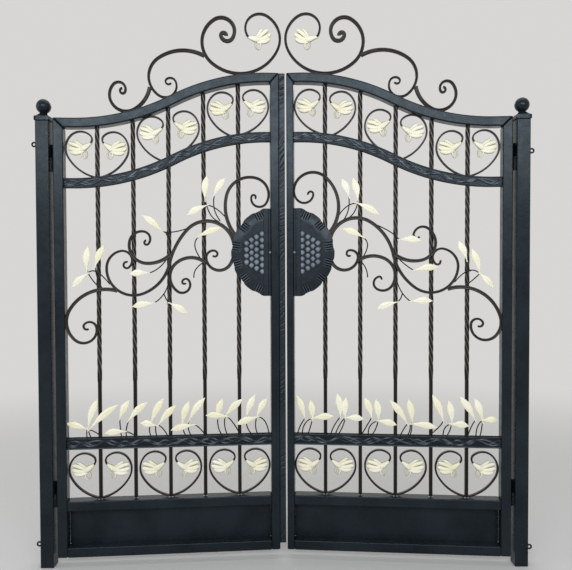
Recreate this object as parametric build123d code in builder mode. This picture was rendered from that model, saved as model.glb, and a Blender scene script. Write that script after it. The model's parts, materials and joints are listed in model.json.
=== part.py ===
from build123d import *
from math import acos, asin, atan2, ceil, cos, degrees, pi, radians, sin, sqrt
import os

# Wrought iron driveway gate: two leaves that hang on hollow posts and open away from the viewer.
# Millimetres, +Z up, origin at the centre of the left post's foot, +X towards the right post,
# +Y inward. Each leaf is drawn on a plane through its hinge axis: x runs from the axis towards the
# middle of the gateway, y runs up, and depth counts forward from the axis.

# small round pieces, apart from pins and bores, are drawn with this many flat sides
ROUND_SIDES = 12

# posts, their caps and the eyes on their outer sides
POST_SPACING = 1946
POST_WIDTH = 54
POST_DEPTH = 60
POST_HEIGHT = 1828
CAP_OVERHANG = 4
CAP_PLATE = 18
CAP_SLOPE = 16
BALL_RADIUS = 30
BALL_SEAT = 14
BALL_SIDES = 16
EYE_RADIUS = 12
EYE_HOLE = 5
EYE_PLATE = 8
EYE_NECK = 12
EYE_INSETS = {"left": (90, 93), "right": (72, 125)}

# hinges: the first counts up from the leaf's foot, the second down from the post's top
HINGE_GAP = 10
AXIS_BEHIND = 12
KNUCKLE_RADIUS = 9
KNUCKLE_LENGTH = 55
PIN_RADIUS = 5
PIN_PLAY = 0.3
PIN_SHORT = 8
BORE_SHORT = 6
HINGE_PLATE = 6
POST_STRAP = 44
LEAF_STRAP = 36
HINGE_INSETS = (190, 198)
AJAR = 5.2

# leaf frame
FRAME_DEPTH = 60
STILE = 40
LEAF_BOTTOM = 40
RAIL = 40
KICK_BAY = 152
EAVE_LIFT = 12
CROWN_RISE = 198
SWEEP_START = 75
SWEEP_LEVEL = 61
PANEL_SHEET = 3
PANEL_INSET = 1
LOCK_STILES = {"left": 36, "right": 30}
STRIP_WIDTH = 24
STRIP_DEPTH = 15
STRIP_LAP = 3
STRIP_SHORT = {"foot": 30, "head": 4}
MEETING_GAP = 11
MEETING_SHIFT = 1.5

# bars, embossed bands and the scrolled hearts between them
BAR_COUNT = 5
BAR_ACROSS = 20
BAR_ENDS = {"left": (132, 133), "right": (136, 130)}
BAND = 40
BAND_SHEET = 6
BAND_DROP = 242
HEART_BAY = 220
HEART_BAR = 8
HEART_TIP = 7
HEART_DEPTH = 14
HEART_LIFTS = ((0, -4), (-16, -6), (-12, -4))
HEART_SEAT = 6
LEAF_SHEET = 4

# A forged scroll is a start, a heading, its two widths and tangent arcs of (radius, sweep), where
# plus turns to the left. An arc is drawn in straight runs that stray no further than CHORD_SAG.
CHORD_SAG = 2
WIDEST_TURN = 46
HEART_ARCS = [(168, -48), (74, -71), (56, -91), (22, -91)]

# vine: x from the middle of the gateway, y from the lower band's top; the two are forged by hand and
# differ a little
VINE_DEPTH = 12
VINE_ROOT = 14
VINE_TIP = 7
VINES = {
    "left": [
        ((-687, 605), 164, [(169, 75), (99, 79), (53, 145), (28, 125), (13, 163)]),
        ((-207, 792), 96, [(112, 132), (312, 29), (174, -56), (109, -117), (71, -71), (39, -151), (13, -238)]),
        ((-470, 754), 224, [(130, -47), (74, -106), (50, -81), (31, -123), (9, -219)]),
        ((-189, 819), 134, [(192, -58), (100, -91), (70, -105), (34, -165), (9, -212)]),
        ((-206, 756), 257, [(150, -17), (54, -146), (30, -88), (20, -54), (11, -183)]),
        ((-326, 720), 141, [(94, 79), (75, 103), (33, 161), (15, 129), (8, 166)]),
    ],
    "right": [
        ((-679, 608), 162, [(167, 94), (78, 58), (58, 143), (25, 142), (13, 154)]),
        ((-195, 801), 94, [(110, 118), (211, 46), (228, -42), (110, -122), (74, -83), (36, -147), (12, -160)]),
        ((-465, 750), 216, [(136, -47), (73, -134), (37, -81), (42, -26), (14, -155)]),
        ((-181, 828), 136, [(169, -93), (79, -127), (55, -53), (38, -129), (11, -195)]),
        ((-199, 741), 267, [(57, -172), (25, -35), (32, -69), (13, -123), (8, -106)]),
        ((-316, 728), 147, [(108, 58), (78, 97), (46, 89), (28, 134), (9, 129)]),
    ],
}
# thin stems: leaf end, middle, root
STEM = 5
STEM_RUNS = 2
SPRIG_SEAT = 4
STEMS = {
    "left": [
        ((-318, 957), (-279, 942), (-236, 900)),
        ((-288, 998), (-288, 941), (-264, 893)),
        ((-325, 978), (-303, 917), (-268, 890)),
        ((-503, 848), (-455, 847), (-396, 863)),
        ((-490, 846), (-480, 827), (-473, 806)),
        ((-355, 826), (-369, 788), (-345, 735)),
        ((-374, 657), (-366, 692), (-333, 722)),
        ((-561, 677), (-521, 696), (-485, 734)),
        ((-538, 553), (-490, 604), (-476, 672)),
        ((-474, 552), (-486, 566), (-497, 590)),
        ((-806, 690), (-789, 655), (-752, 612)),
        ((-804, 678), (-768, 683), (-716, 632)),
        ((-774, 702), (-765, 655), (-745, 613)),
    ],
    "right": [
        ((-305, 964), (-266, 950), (-232, 912)),
        ((-275, 990), (-273, 938), (-252, 893)),
        ((-312, 974), (-296, 925), (-262, 898)),
        ((-482, 811), (-448, 842), (-390, 873)),
        ((-333, 822), (-352, 790), (-333, 741)),
        ((-352, 656), (-345, 693), (-322, 726)),
        ((-542, 685), (-514, 703), (-476, 736)),
        ((-529, 556), (-491, 597), (-470, 652)),
        ((-472, 553), (-487, 568), (-495, 592)),
        ((-807, 671), (-762, 683), (-706, 636)),
        ((-754, 726), (-760, 697), (-772, 681)),
        ((-805, 669), (-783, 648), (-748, 620)),
    ],
}
# leaves: foot, direction and length
LEAF_WIDTH = 26
VINE_LEAVES = {
    "left": [
        ((-325, 978), 86, 103), ((-288, 998), 58, 84), ((-318, 956), 206, 92), ((-503, 848), 140, 104),
        ((-355, 826), 22, 103), ((-561, 677), 182, 76), ((-538, 553), 189, 90), ((-474, 552), 329, 84),
        ((-806, 688), 88, 100), ((-774, 702), 68, 98), ((-803, 676), 221, 86),
    ],
    "right": [
        ((-312, 974), 78, 96), ((-275, 990), 69, 80), ((-305, 964), 207, 106), ((-482, 811), 182, 90),
        ((-333, 822), 24, 92), ((-542, 685), 172, 100), ((-529, 556), 178, 89), ((-472, 553), 341, 85),
        ((-807, 671), 73, 108), ((-754, 726), 67, 86), ((-806, 670), 225, 79),
    ],
}

# sprigs on the lower band, each with three leaves on stems of their own: foot, direction and length of
# the leaf, then a point midway down its stem and the stem's root, measured as the vine is
SPRIGS = {
    "left": [
        ((-815, 36), 164, 89, (-817, 12), -814), ((-811, 38), 72, 130, (-805, 12), -794),
        ((-807, 32), 41, 157, (-782, 22), -745), ((-683, 74), 63, 89, (-680, 30), -675),
        ((-647, 66), 45, 110, (-657, 26), -654), ((-661, 22), 184, 84, (-638, 14), -604),
        ((-537, 44), 169, 64, (-536, 18), -531), ((-555, 54), 63, 118, (-562, 24), -552),
        ((-525, 45), 48, 111, (-504, 27), -485), ((-376, 43), 192, 101, (-354, 27), -327),
        ((-427, 42), 74, 106, (-421, 16), -408), ((-400, 59), 55, 119, (-401, 24), -386),
        ((-240, 74), 175, 90, (-213, 44), -184), ((-280, 72), 75, 82, (-276, 26), -258),
        ((-249, 74), 45, 104, (-250, 32), -237), ((-110, 70), 198, 97, (-80, 48), -64),
        ((-160, 72), 68, 100, (-156, 28), -133), ((-116, 71), 60, 92, (-121, 28), -109),
    ],
    "right": [
        ((-90, 62), 70, 107, (-70, 30), -58), ((-121, 58), 84, 85, (-112, 24), -101),
        ((-122, 63), 173, 89, (-90, 40), -78), ((-238, 70), 83, 102, (-213, 34), -197),
        ((-260, 68), 92, 86, (-246, 26), -227), ((-262, 69), 184, 74, (-238, 42), -216),
        ((-369, 70), 71, 91, (-348, 34), -324), ((-396, 61), 84, 88, (-385, 22), -365),
        ((-393, 57), 191, 82, (-362, 34), -356), ((-516, 46), 54, 123, (-499, 20), -486),
        ((-535, 54), 81, 98, (-533, 20), -525), ((-528, 46), 187, 112, (-526, 18), -513),
        ((-663, 60), 68, 119, (-642, 32), -598), ((-697, 49), 83, 100, (-689, 20), -674),
        ((-693, 49), 185, 75, (-669, 30), -663), ((-792, 65), 58, 118, (-776, 36), -760),
        ((-822, 60), 72, 105, (-816, 16), -808), ((-822, 67), 179, 64, (-802, 38), -796),
    ],
}

# crest: x from the middle of the gateway, y from the top rail's upper edge where the crest sits on it
CREST_DEPTH = 14
CREST_MIDDLE = 50
CREST_SEAT = -560
CREST = [
    ((-659, 71), 186, (9, 16), [(11, 137), (10, 100), (28, 167), (66, 160), (131, 50)]),
    ((-325, 209), 152, (15, 10), [(179, 64), (93, 108), (47, 149), (24, 104), (12, 200)]),
    ((-235, 295), 90, (15, 10),
     [(11, 193), (26, 133), (54, 157), (111, 108), (177, 102), (108, 86), (60, 158)]),
]

# rosette: a pressed disc with a lobed rim and a raised field, cut in two along the lock stiles
ROSETTE_RADIUS = 212
ROSETTE_HEIGHT = 762
ROSETTE_SHIFT = {"left": (-3, -2), "right": (1, 2)}
ROSETTE_LOBES = 15
ROSETTE_NOTCH = 7
ROSETTE_FIELD = 0.72
ROSETTE_SHEET = 5
ROSETTE_RISE = 9
ROSETTE_STRIP = 31

# depths forward from the hinge axis
BACK = AXIS_BEHIND
FRONT_FACE = BACK + FRAME_DEPTH
MIDDLE = BACK + FRAME_DEPTH / 2
BAR_FRONT = MIDDLE + BAR_ACROSS / 2
BAR_REAR = MIDDLE - BAR_ACROSS / 2
VINE_FRONT = BAR_FRONT + VINE_DEPTH

FORWARD = {"left": 1, "right": -1}
AXIS_X = POST_WIDTH / 2 + HINGE_GAP / 2
AXIS_Y = POST_DEPTH / 2 + AXIS_BEHIND
HINGE_EDGE = HINGE_GAP / 2
BAY = HINGE_EDGE + STILE
MIDLINE = POST_SPACING / 2 - AXIS_X
HALF_MEETING = (STRIP_WIDTH + MEETING_GAP) / 2
OUTER_EDGES = {"left": MIDLINE - HALF_MEETING - MEETING_SHIFT, "right": MIDLINE - HALF_MEETING + MEETING_SHIFT}
KICK_TOP = LEAF_BOTTOM + 2 * RAIL + KICK_BAY
LOWER_BAND = KICK_TOP + HEART_BAY
BAND_TOP = LOWER_BAND + BAND
EAVE_HEIGHT = POST_HEIGHT + EAVE_LIFT
CROWN = EAVE_HEIGHT + CROWN_RISE
SWEEP_END = MIDLINE - SWEEP_LEVEL
SWEEP_RUN = SWEEP_END - SWEEP_START
SWEEP_RADIUS = (SWEEP_RUN**2 + CROWN_RISE**2) / (4 * CROWN_RISE)
SWEEP_ANGLE = degrees(asin(SWEEP_RUN / 2 / SWEEP_RADIUS))
TRIM = 2 * (POST_SPACING + POST_HEIGHT)

os.makedirs("parts", exist_ok=True)


def finish(piece, name):
    piece.part.label = name
    export_step(piece.part, f"parts/{name}.step")


def leaf_plane(side, depth):
    """Drawing plane of one leaf, depth mm in front of its hinge axis, swung ajar."""
    c, s = cos(radians(AJAR)), sin(radians(AJAR))
    if side == "left":
        base = Plane(origin=(AXIS_X, AXIS_Y, 0), x_dir=(c, s, 0), z_dir=(s, -c, 0))
    else:
        base = Plane(origin=(POST_SPACING - AXIS_X, AXIS_Y, 0), x_dir=(-c, s, 0), z_dir=(s, c, 0))
    return base.offset(FORWARD[side] * depth)


def inner_edge(side):
    return OUTER_EDGES[side] - LOCK_STILES[side]


def bar_places(side):
    """Centre lines of the bars."""
    first, last = BAR_ENDS[side]
    pitch = (inner_edge(side) - BAY - first - last) / (BAR_COUNT - 1)
    return [BAY + first + pitch * k for k in range(BAR_COUNT)]


def sweep_height(x, drop):
    """Height of the crowned top line at x, drop mm below the rail's upper edge."""
    if x <= SWEEP_START:
        return EAVE_HEIGHT - drop
    if x <= SWEEP_START + SWEEP_RUN / 2:
        return EAVE_HEIGHT - drop + SWEEP_RADIUS - sqrt(SWEEP_RADIUS**2 - (x - SWEEP_START) ** 2)
    if x <= SWEEP_END:
        return CROWN - drop - SWEEP_RADIUS + sqrt(SWEEP_RADIUS**2 - (SWEEP_END - x) ** 2)
    return CROWN - drop


def sweep_edge(x_from, x_to, drop, below):
    """Crowned line, drop mm under the rail's upper edge and a further below mm measured square to it."""
    start = (SWEEP_START, EAVE_HEIGHT - drop - below)
    Line((x_from, start[1]), start)
    rise = JernArc(start, (1, 0), SWEEP_RADIUS + below, SWEEP_ANGLE)
    fall = JernArc(rise @ 1, rise % 1, SWEEP_RADIUS - below, -SWEEP_ANGLE)
    Line(fall @ 1, (x_to, CROWN - drop - below))


def crowned_face(upper_from, upper_to, lower_from, lower_to, drop, below):
    """Face between two parallel crowned lines."""
    with BuildLine() as outline:
        sweep_edge(upper_from, upper_to, drop, 0)
        sweep_edge(lower_from, lower_to, drop, below)
        Line((upper_from, EAVE_HEIGHT - drop), (lower_from, EAVE_HEIGHT - drop - below))
        Line((upper_to, CROWN - drop), (lower_to, CROWN - drop - below))
    make_face(outline.edges())


def trim_above_rail(x_from, x_to):
    """Take away what would reach into the top rail."""
    with BuildLine() as outline:
        sweep_edge(x_from, x_to, 0, RAIL)
        Polyline((x_from, EAVE_HEIGHT - RAIL), (x_from, TRIM), (x_to, TRIM), (x_to, CROWN - RAIL))
    make_face(outline.edges(), mode=Mode.SUBTRACT)


def trim_below_rail(x_from, x_to):
    """Take away what would reach into the top rail from above."""
    with BuildLine() as outline:
        sweep_edge(x_from, x_to, 0, 0)
        Polyline((x_from, EAVE_HEIGHT), (x_from, 0), (x_to, 0), (x_to, CROWN))
    make_face(outline.edges(), mode=Mode.SUBTRACT)


def trim_beside(x_from, x_to):
    """Keep only what lies between two upright edges."""
    with Locations((x_from - TRIM / 2, 0), (x_to + TRIM / 2, 0)):
        Rectangle(TRIM, TRIM, mode=Mode.SUBTRACT)


def trim_bars(places):
    with Locations([(x, 0) for x in places]):
        Rectangle(BAR_ACROSS, TRIM, mode=Mode.SUBTRACT)


def ribbon(stations):
    """Flat bar outline through stations of x, y, heading and half width."""
    left = [(x - half * sin(a), y + half * cos(a)) for x, y, a, half in stations]
    right = [(x + half * sin(a), y - half * cos(a)) for x, y, a, half in stations]
    with BuildLine() as outline:
        Polyline(left + right[::-1], close=True)
    make_face(outline.edges())


def scroll(start, heading, widths, arcs, flip=1):
    """Forged bar along tangent arcs, narrowing evenly from its first width to its last."""
    root, tip = widths
    length = sum(radius * radians(abs(sweep)) for radius, sweep in arcs)
    x, y = start
    angle = radians(heading)
    run = 0.0
    stations = [(x, y, angle, root / 2)]
    for radius, sweep in arcs:
        turn = radians(sweep * flip)
        side = 1 if turn > 0 else -1
        centre_x = x - side * radius * sin(angle)
        centre_y = y + side * radius * cos(angle)
        step = min(radians(WIDEST_TURN), 2 * acos(1 - CHORD_SAG / max(radius, CHORD_SAG)))
        count = ceil(abs(turn) / step)
        for k in range(1, count + 1):
            a = angle + turn * k / count
            travelled = run + radius * abs(turn) * k / count
            half = (root + (tip - root) * travelled / length) / 2
            stations.append((centre_x + side * radius * sin(a), centre_y - side * radius * cos(a), a, half))
        x, y, angle = stations[-1][:3]
        run += radius * abs(turn)
    ribbon(stations)
    return stations[-1]


def stem(start, middle, end, runs):
    """Thin rod on the parabola through three points, drawn in a few straight runs."""
    pull_x = 2 * middle[0] - (start[0] + end[0]) / 2
    pull_y = 2 * middle[1] - (start[1] + end[1]) / 2
    stations = []
    for k in range(runs + 1):
        t = k / runs
        x = (1 - t) ** 2 * start[0] + 2 * t * (1 - t) * pull_x + t**2 * end[0]
        y = (1 - t) ** 2 * start[1] + 2 * t * (1 - t) * pull_y + t**2 * end[1]
        slope_x = (1 - t) * (pull_x - start[0]) + t * (end[0] - pull_x)
        slope_y = (1 - t) * (pull_y - start[1]) + t * (end[1] - pull_y)
        stations.append((x, y, atan2(slope_y, slope_x), STEM / 2))
    ribbon(stations)


def blade(foot, direction, length):
    """Outline of one forged leaf: narrow foot, widest before the middle, pointed tip."""
    c, s = cos(radians(direction)), sin(radians(direction))
    upper = [(-8, STEM / 2), (0.36 * length, 0.5 * LEAF_WIDTH), (0.72 * length, 0.34 * LEAF_WIDTH)]
    border = upper + [(length, 0)] + [(a, -b) for a, b in reversed(upper)]
    with BuildLine() as outline:
        Polyline([(foot[0] + a * c - b * s, foot[1] + a * s + b * c) for a, b in border], close=True)
    make_face(outline.edges())


def leaf_cluster(place, flip):
    """Acanthus end of a scroll: one body that splits into upper fingers and a hanging lobe."""
    x, y, angle = place[:3]
    shape = [(0, 4), (44, 7), (46, 38), (72, 36), (68, 4),
             (82, -36), (58, -60), (52, -40), (36, -44), (0, -4)]
    c, s = cos(angle), sin(angle)
    with BuildLine() as outline:
        Polyline([(x + a * c - b * flip * s, y + a * s + b * flip * c) for a, b in shape], close=True)
    make_face(outline.edges())


def lobed_disc(centre):
    """Rosette outline: round lobes that meet in shallow notches."""
    points = []
    for k in range(4 * ROSETTE_LOBES):
        a = 2 * pi * k / (4 * ROSETTE_LOBES)
        radius = ROSETTE_RADIUS - ROSETTE_NOTCH * (1, 0.25, 0, 0.25)[k % 4]
        points.append((centre[0] + radius * cos(a), centre[1] + radius * sin(a)))
    with BuildLine() as outline:
        Polyline(points, close=True)
    make_face(outline.edges())


# posts, capped with a low pyramid and a ball
for side, x in (("left", 0), ("right", POST_SPACING)):
    with BuildPart() as post:
        with BuildSketch(Plane.XY):
            with Locations((x, 0)):
                Rectangle(POST_WIDTH, POST_DEPTH)
        extrude(amount=POST_HEIGHT)
    finish(post, f"post_{side}")

    with BuildPart() as post_cap:
        plate_top = POST_HEIGHT + CAP_PLATE
        ball_centre = plate_top + CAP_SLOPE + sqrt(BALL_RADIUS**2 - BALL_SEAT**2)
        for k in range(BALL_SIDES // 2):
            turn = 2 * pi * k / BALL_SIDES
            upright = Plane(origin=(x, 0, ball_centre), x_dir=(cos(turn), sin(turn), 0), z_dir=(sin(turn), -cos(turn), 0))
            with BuildSketch(upright):
                RegularPolygon(BALL_RADIUS, BALL_SIDES)
            extrude(amount=2 * BALL_RADIUS, both=True, mode=Mode.INTERSECT if k else Mode.ADD)
        with BuildSketch(Plane.XY.offset(POST_HEIGHT)):
            with Locations((x, 0)):
                Rectangle(POST_WIDTH + 2 * CAP_OVERHANG, POST_DEPTH + 2 * CAP_OVERHANG)
        extrude(amount=CAP_PLATE)
        with BuildSketch(Plane.XY.offset(plate_top)):
            with Locations((x, 0)):
                Rectangle(POST_WIDTH + 2 * CAP_OVERHANG, POST_DEPTH + 2 * CAP_OVERHANG)
        slope_inset = POST_WIDTH / 2 + CAP_OVERHANG - BALL_SEAT
        extrude(amount=CAP_SLOPE, taper=degrees(atan2(slope_inset, CAP_SLOPE)))
    finish(post_cap, f"post_cap_{side}")

# welded eyes on the outer sides of the posts
for side, x, out in (("left", -POST_WIDTH / 2, -1), ("right", POST_SPACING + POST_WIDTH / 2, 1)):
    above_foot, below_top = EYE_INSETS[side]
    with BuildPart() as eyes:
        with BuildSketch(Plane.XZ.offset(-EYE_PLATE / 2)):
            for z in (above_foot, POST_HEIGHT - below_top):
                with Locations((x + out * (EYE_RADIUS + 2), z)):
                    RegularPolygon(EYE_RADIUS, ROUND_SIDES)
                with Locations((x + out * EYE_NECK / 2, z)):
                    Rectangle(EYE_NECK, EYE_NECK)
                with Locations((x + out * (EYE_RADIUS + 2), z)):
                    RegularPolygon(EYE_HOLE, ROUND_SIDES // 2, mode=Mode.SUBTRACT)
        extrude(amount=EYE_PLATE)
    finish(eyes, f"anchor_eyes_{side}")

# hinges: knuckle and pin on the post, bored knuckle on the leaf
hinge_heights = (LEAF_BOTTOM + HINGE_INSETS[0], POST_HEIGHT - HINGE_INSETS[1])
for side in ("left", "right"):
    axis_x = AXIS_X if side == "left" else POST_SPACING - AXIS_X
    inward = FORWARD[side]
    with BuildPart() as hinge_pins:
        for z in hinge_heights:
            with BuildSketch(Plane.XY.offset(z)):
                with Locations((axis_x, AXIS_Y)):
                    RegularPolygon(KNUCKLE_RADIUS, ROUND_SIDES)
                strap_x = axis_x - inward * (HINGE_GAP + POST_STRAP) / 2
                with Locations((strap_x, (POST_DEPTH + HINGE_PLATE) / 2)):
                    Rectangle(POST_STRAP, HINGE_PLATE)
            extrude(amount=KNUCKLE_LENGTH)
            with BuildSketch(Plane.XY.offset(z + KNUCKLE_LENGTH)):
                with Locations((axis_x, AXIS_Y)):
                    Circle(PIN_RADIUS)
            extrude(amount=KNUCKLE_LENGTH - PIN_SHORT)
    finish(hinge_pins, f"hinge_pins_{side}")

    with BuildPart() as hinge_barrels:
        for z in hinge_heights:
            level = leaf_plane(side, 0)
            foot = Vector(0, 0, z + KNUCKLE_LENGTH + 1)
            flat = Plane(origin=level.origin + foot, x_dir=level.x_dir, z_dir=(0, 0, 1))
            with BuildSketch(flat):
                RegularPolygon(KNUCKLE_RADIUS, ROUND_SIDES)
                with Locations(((HINGE_GAP + LEAF_STRAP) / 2, -inward * (BACK - HINGE_PLATE / 2))):
                    Rectangle(LEAF_STRAP, HINGE_PLATE)
            extrude(amount=KNUCKLE_LENGTH)
            with BuildSketch(flat):
                Circle(PIN_RADIUS + PIN_PLAY)
            extrude(amount=KNUCKLE_LENGTH - BORE_SHORT, mode=Mode.SUBTRACT)
    finish(hinge_barrels, f"hinge_barrels_{side}")

# the two leaves
for side in ("left", "right"):
    forward = FORWARD[side]
    outer = OUTER_EDGES[side]
    inner = inner_edge(side)
    bars_at = bar_places(side)

    with BuildPart() as hinge_stile:
        with BuildSketch(leaf_plane(side, BACK)):
            with BuildLine():
                Polyline((HINGE_EDGE, LEAF_BOTTOM), (BAY, LEAF_BOTTOM), (BAY, EAVE_HEIGHT - RAIL),
                         (HINGE_EDGE, EAVE_HEIGHT), close=True)
            make_face()
        extrude(amount=forward * FRAME_DEPTH)
    finish(hinge_stile, f"hinge_stile_{side}")

    with BuildPart() as lock_stile:
        with BuildSketch(leaf_plane(side, BACK)):
            with BuildLine():
                Polyline((inner, LEAF_BOTTOM), (outer, LEAF_BOTTOM), (outer, CROWN),
                         (inner, CROWN - RAIL), close=True)
            make_face()
        extrude(amount=forward * FRAME_DEPTH)
    finish(lock_stile, f"lock_stile_{side}")

    with BuildPart() as top_rail:
        with BuildSketch(leaf_plane(side, BACK)):
            crowned_face(HINGE_EDGE, outer, BAY, inner, 0, RAIL)
        extrude(amount=forward * FRAME_DEPTH)
    finish(top_rail, f"top_rail_{side}")

    with BuildPart() as lower_rails:
        with BuildSketch(leaf_plane(side, BACK)):
            with Locations(((BAY + inner) / 2, LEAF_BOTTOM + RAIL / 2), ((BAY + inner) / 2, KICK_TOP - RAIL / 2)):
                Rectangle(inner - BAY, RAIL)
        extrude(amount=forward * FRAME_DEPTH)
    finish(lower_rails, f"lower_rails_{side}")

    with BuildPart() as kick_panel:
        with BuildSketch(leaf_plane(side, BACK + PANEL_INSET)):
            with Locations(((BAY + inner) / 2, LEAF_BOTTOM + RAIL + KICK_BAY / 2)):
                Rectangle(inner - BAY, KICK_BAY)
        extrude(amount=forward * PANEL_SHEET)
    finish(kick_panel, f"kick_panel_{side}")

    with BuildPart() as bars:
        with BuildSketch(leaf_plane(side, BAR_REAR)):
            with Locations([(x, (KICK_TOP + CROWN) / 2) for x in bars_at]):
                Rectangle(BAR_ACROSS, CROWN - KICK_TOP)
        extrude(amount=forward * BAR_ACROSS)
        chamfer(bars.edges().filter_by(Axis.Z), BAR_ACROSS * (1 - sqrt(0.5)))
        with BuildSketch(leaf_plane(side, BACK)):
            with BuildLine():
                sweep_edge(BAY, inner, 0, RAIL)
                Polyline((BAY, EAVE_HEIGHT - RAIL), (BAY, TRIM), (inner, TRIM), (inner, CROWN - RAIL))
            make_face()
        extrude(amount=forward * FRAME_DEPTH, mode=Mode.SUBTRACT)
    finish(bars, f"bars_{side}")

    with BuildPart() as upper_band:
        for depth in (BAR_FRONT, BAR_REAR - BAND_SHEET):
            with BuildSketch(leaf_plane(side, depth)):
                crowned_face(BAY, inner, BAY, inner, BAND_DROP, BAND)
            extrude(amount=forward * BAND_SHEET)
    finish(upper_band, f"upper_band_{side}")

    with BuildPart() as lower_band:
        for depth in (BAR_FRONT, BAR_REAR - BAND_SHEET):
            with BuildSketch(leaf_plane(side, depth)):
                with Locations(((BAY + inner) / 2, LOWER_BAND + BAND / 2)):
                    Rectangle(inner - BAY, BAND)
            extrude(amount=forward * BAND_SHEET)
    finish(lower_band, f"lower_band_{side}")

    heart_ends = []
    heart_widths = (HEART_BAR, HEART_TIP)
    with BuildPart() as upper_hearts:
        with BuildSketch(leaf_plane(side, MIDDLE - HEART_DEPTH / 2)):
            for x, lifts in zip(bars_at[::2], HEART_LIFTS):
                for flip, heading, lift in ((1, 167, lifts[0]), (-1, 13, lifts[1])):
                    foot = (x - flip * HEART_BAR, sweep_height(x - flip * VINE_ROOT, BAND_DROP) + lift)
                    heart_ends.append((scroll(foot, heading, heart_widths, HEART_ARCS, flip), flip))
            trim_bars(bars_at)
            trim_beside(BAY, inner)
            trim_above_rail(BAY, inner)
        extrude(amount=forward * HEART_DEPTH)
    finish(upper_hearts, f"upper_hearts_{side}")

    with BuildPart() as lower_hearts:
        with BuildSketch(leaf_plane(side, MIDDLE - HEART_DEPTH / 2)):
            for x in bars_at[::2]:
                for flip, heading in ((1, 167), (-1, 13)):
                    foot = (x - flip * HEART_BAR, KICK_TOP + HEART_SEAT)
                    heart_ends.append((scroll(foot, heading, heart_widths, HEART_ARCS, flip), flip))
            trim_bars(bars_at)
            trim_beside(BAY, inner)
        extrude(amount=forward * HEART_DEPTH)
    finish(lower_hearts, f"lower_hearts_{side}")

    with BuildPart() as vine_scrolls:
        with BuildSketch(leaf_plane(side, BAR_FRONT)):
            for (x, y), heading, arcs in VINES[side]:
                scroll((MIDLINE + x, BAND_TOP + y), heading, (VINE_ROOT, VINE_TIP), arcs)
            trim_beside(BAY, inner)
        extrude(amount=forward * VINE_DEPTH)
        with BuildSketch(leaf_plane(side, VINE_FRONT - STEM)):
            for points in STEMS[side]:
                stem(*[(MIDLINE + x, BAND_TOP + y) for x, y in points], STEM_RUNS)
            trim_beside(BAY, inner)
        extrude(amount=forward * STEM)
    finish(vine_scrolls, f"vine_scrolls_{side}")

    with BuildPart() as vine_leaves:
        with BuildSketch(leaf_plane(side, VINE_FRONT)):
            for (x, y), direction, length in VINE_LEAVES[side]:
                blade((MIDLINE + x, BAND_TOP + y), direction, length)
            trim_beside(BAY, inner)
        extrude(amount=forward * LEAF_SHEET)
    finish(vine_leaves, f"vine_leaves_{side}")

    stem_rear = BAR_FRONT + (BAND_SHEET - STEM) / 2
    with BuildPart() as sprig_stems:
        with BuildSketch(leaf_plane(side, stem_rear)):
            for (x, y), _, _, (mid_x, mid_y), root_x in SPRIGS[side]:
                ends = [(x, y), (mid_x, mid_y), (root_x, -SPRIG_SEAT)]
                stem(*[(MIDLINE + a, BAND_TOP + b) for a, b in ends], STEM_RUNS)
            with Locations((MIDLINE / 2, BAND_TOP - TRIM / 2)):
                Rectangle(TRIM, TRIM, mode=Mode.SUBTRACT)
        extrude(amount=forward * STEM)
    finish(sprig_stems, f"sprig_stems_{side}")

    with BuildPart() as sprig_leaves:
        with BuildSketch(leaf_plane(side, stem_rear + STEM)):
            for (x, y), direction, length, _, _ in SPRIGS[side]:
                blade((MIDLINE + x, BAND_TOP + y), direction, length)
            trim_beside(BAY, inner)
        extrude(amount=forward * LEAF_SHEET)
    finish(sprig_leaves, f"sprig_leaves_{side}")

    with BuildPart() as crest:
        with BuildSketch(leaf_plane(side, CREST_MIDDLE - CREST_DEPTH / 2)):
            seat = sweep_height(MIDLINE + CREST_SEAT, 0)
            for (x, y), heading, widths, arcs in CREST:
                crest_end = scroll((MIDLINE + x, seat + y), heading, widths, arcs)
            trim_below_rail(HINGE_EDGE, outer)
        extrude(amount=forward * CREST_DEPTH)
    finish(crest, f"crest_{side}")

    with BuildPart() as scroll_leaves:
        with BuildSketch(leaf_plane(side, MIDDLE - LEAF_SHEET / 2)):
            for place, flip in heart_ends:
                leaf_cluster(place, flip)
        extrude(amount=forward * LEAF_SHEET)
        with BuildSketch(leaf_plane(side, CREST_MIDDLE - LEAF_SHEET / 2)):
            leaf_cluster(crest_end, 1)
        extrude(amount=forward * LEAF_SHEET)
    finish(scroll_leaves, f"scroll_leaves_{side}")

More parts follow.
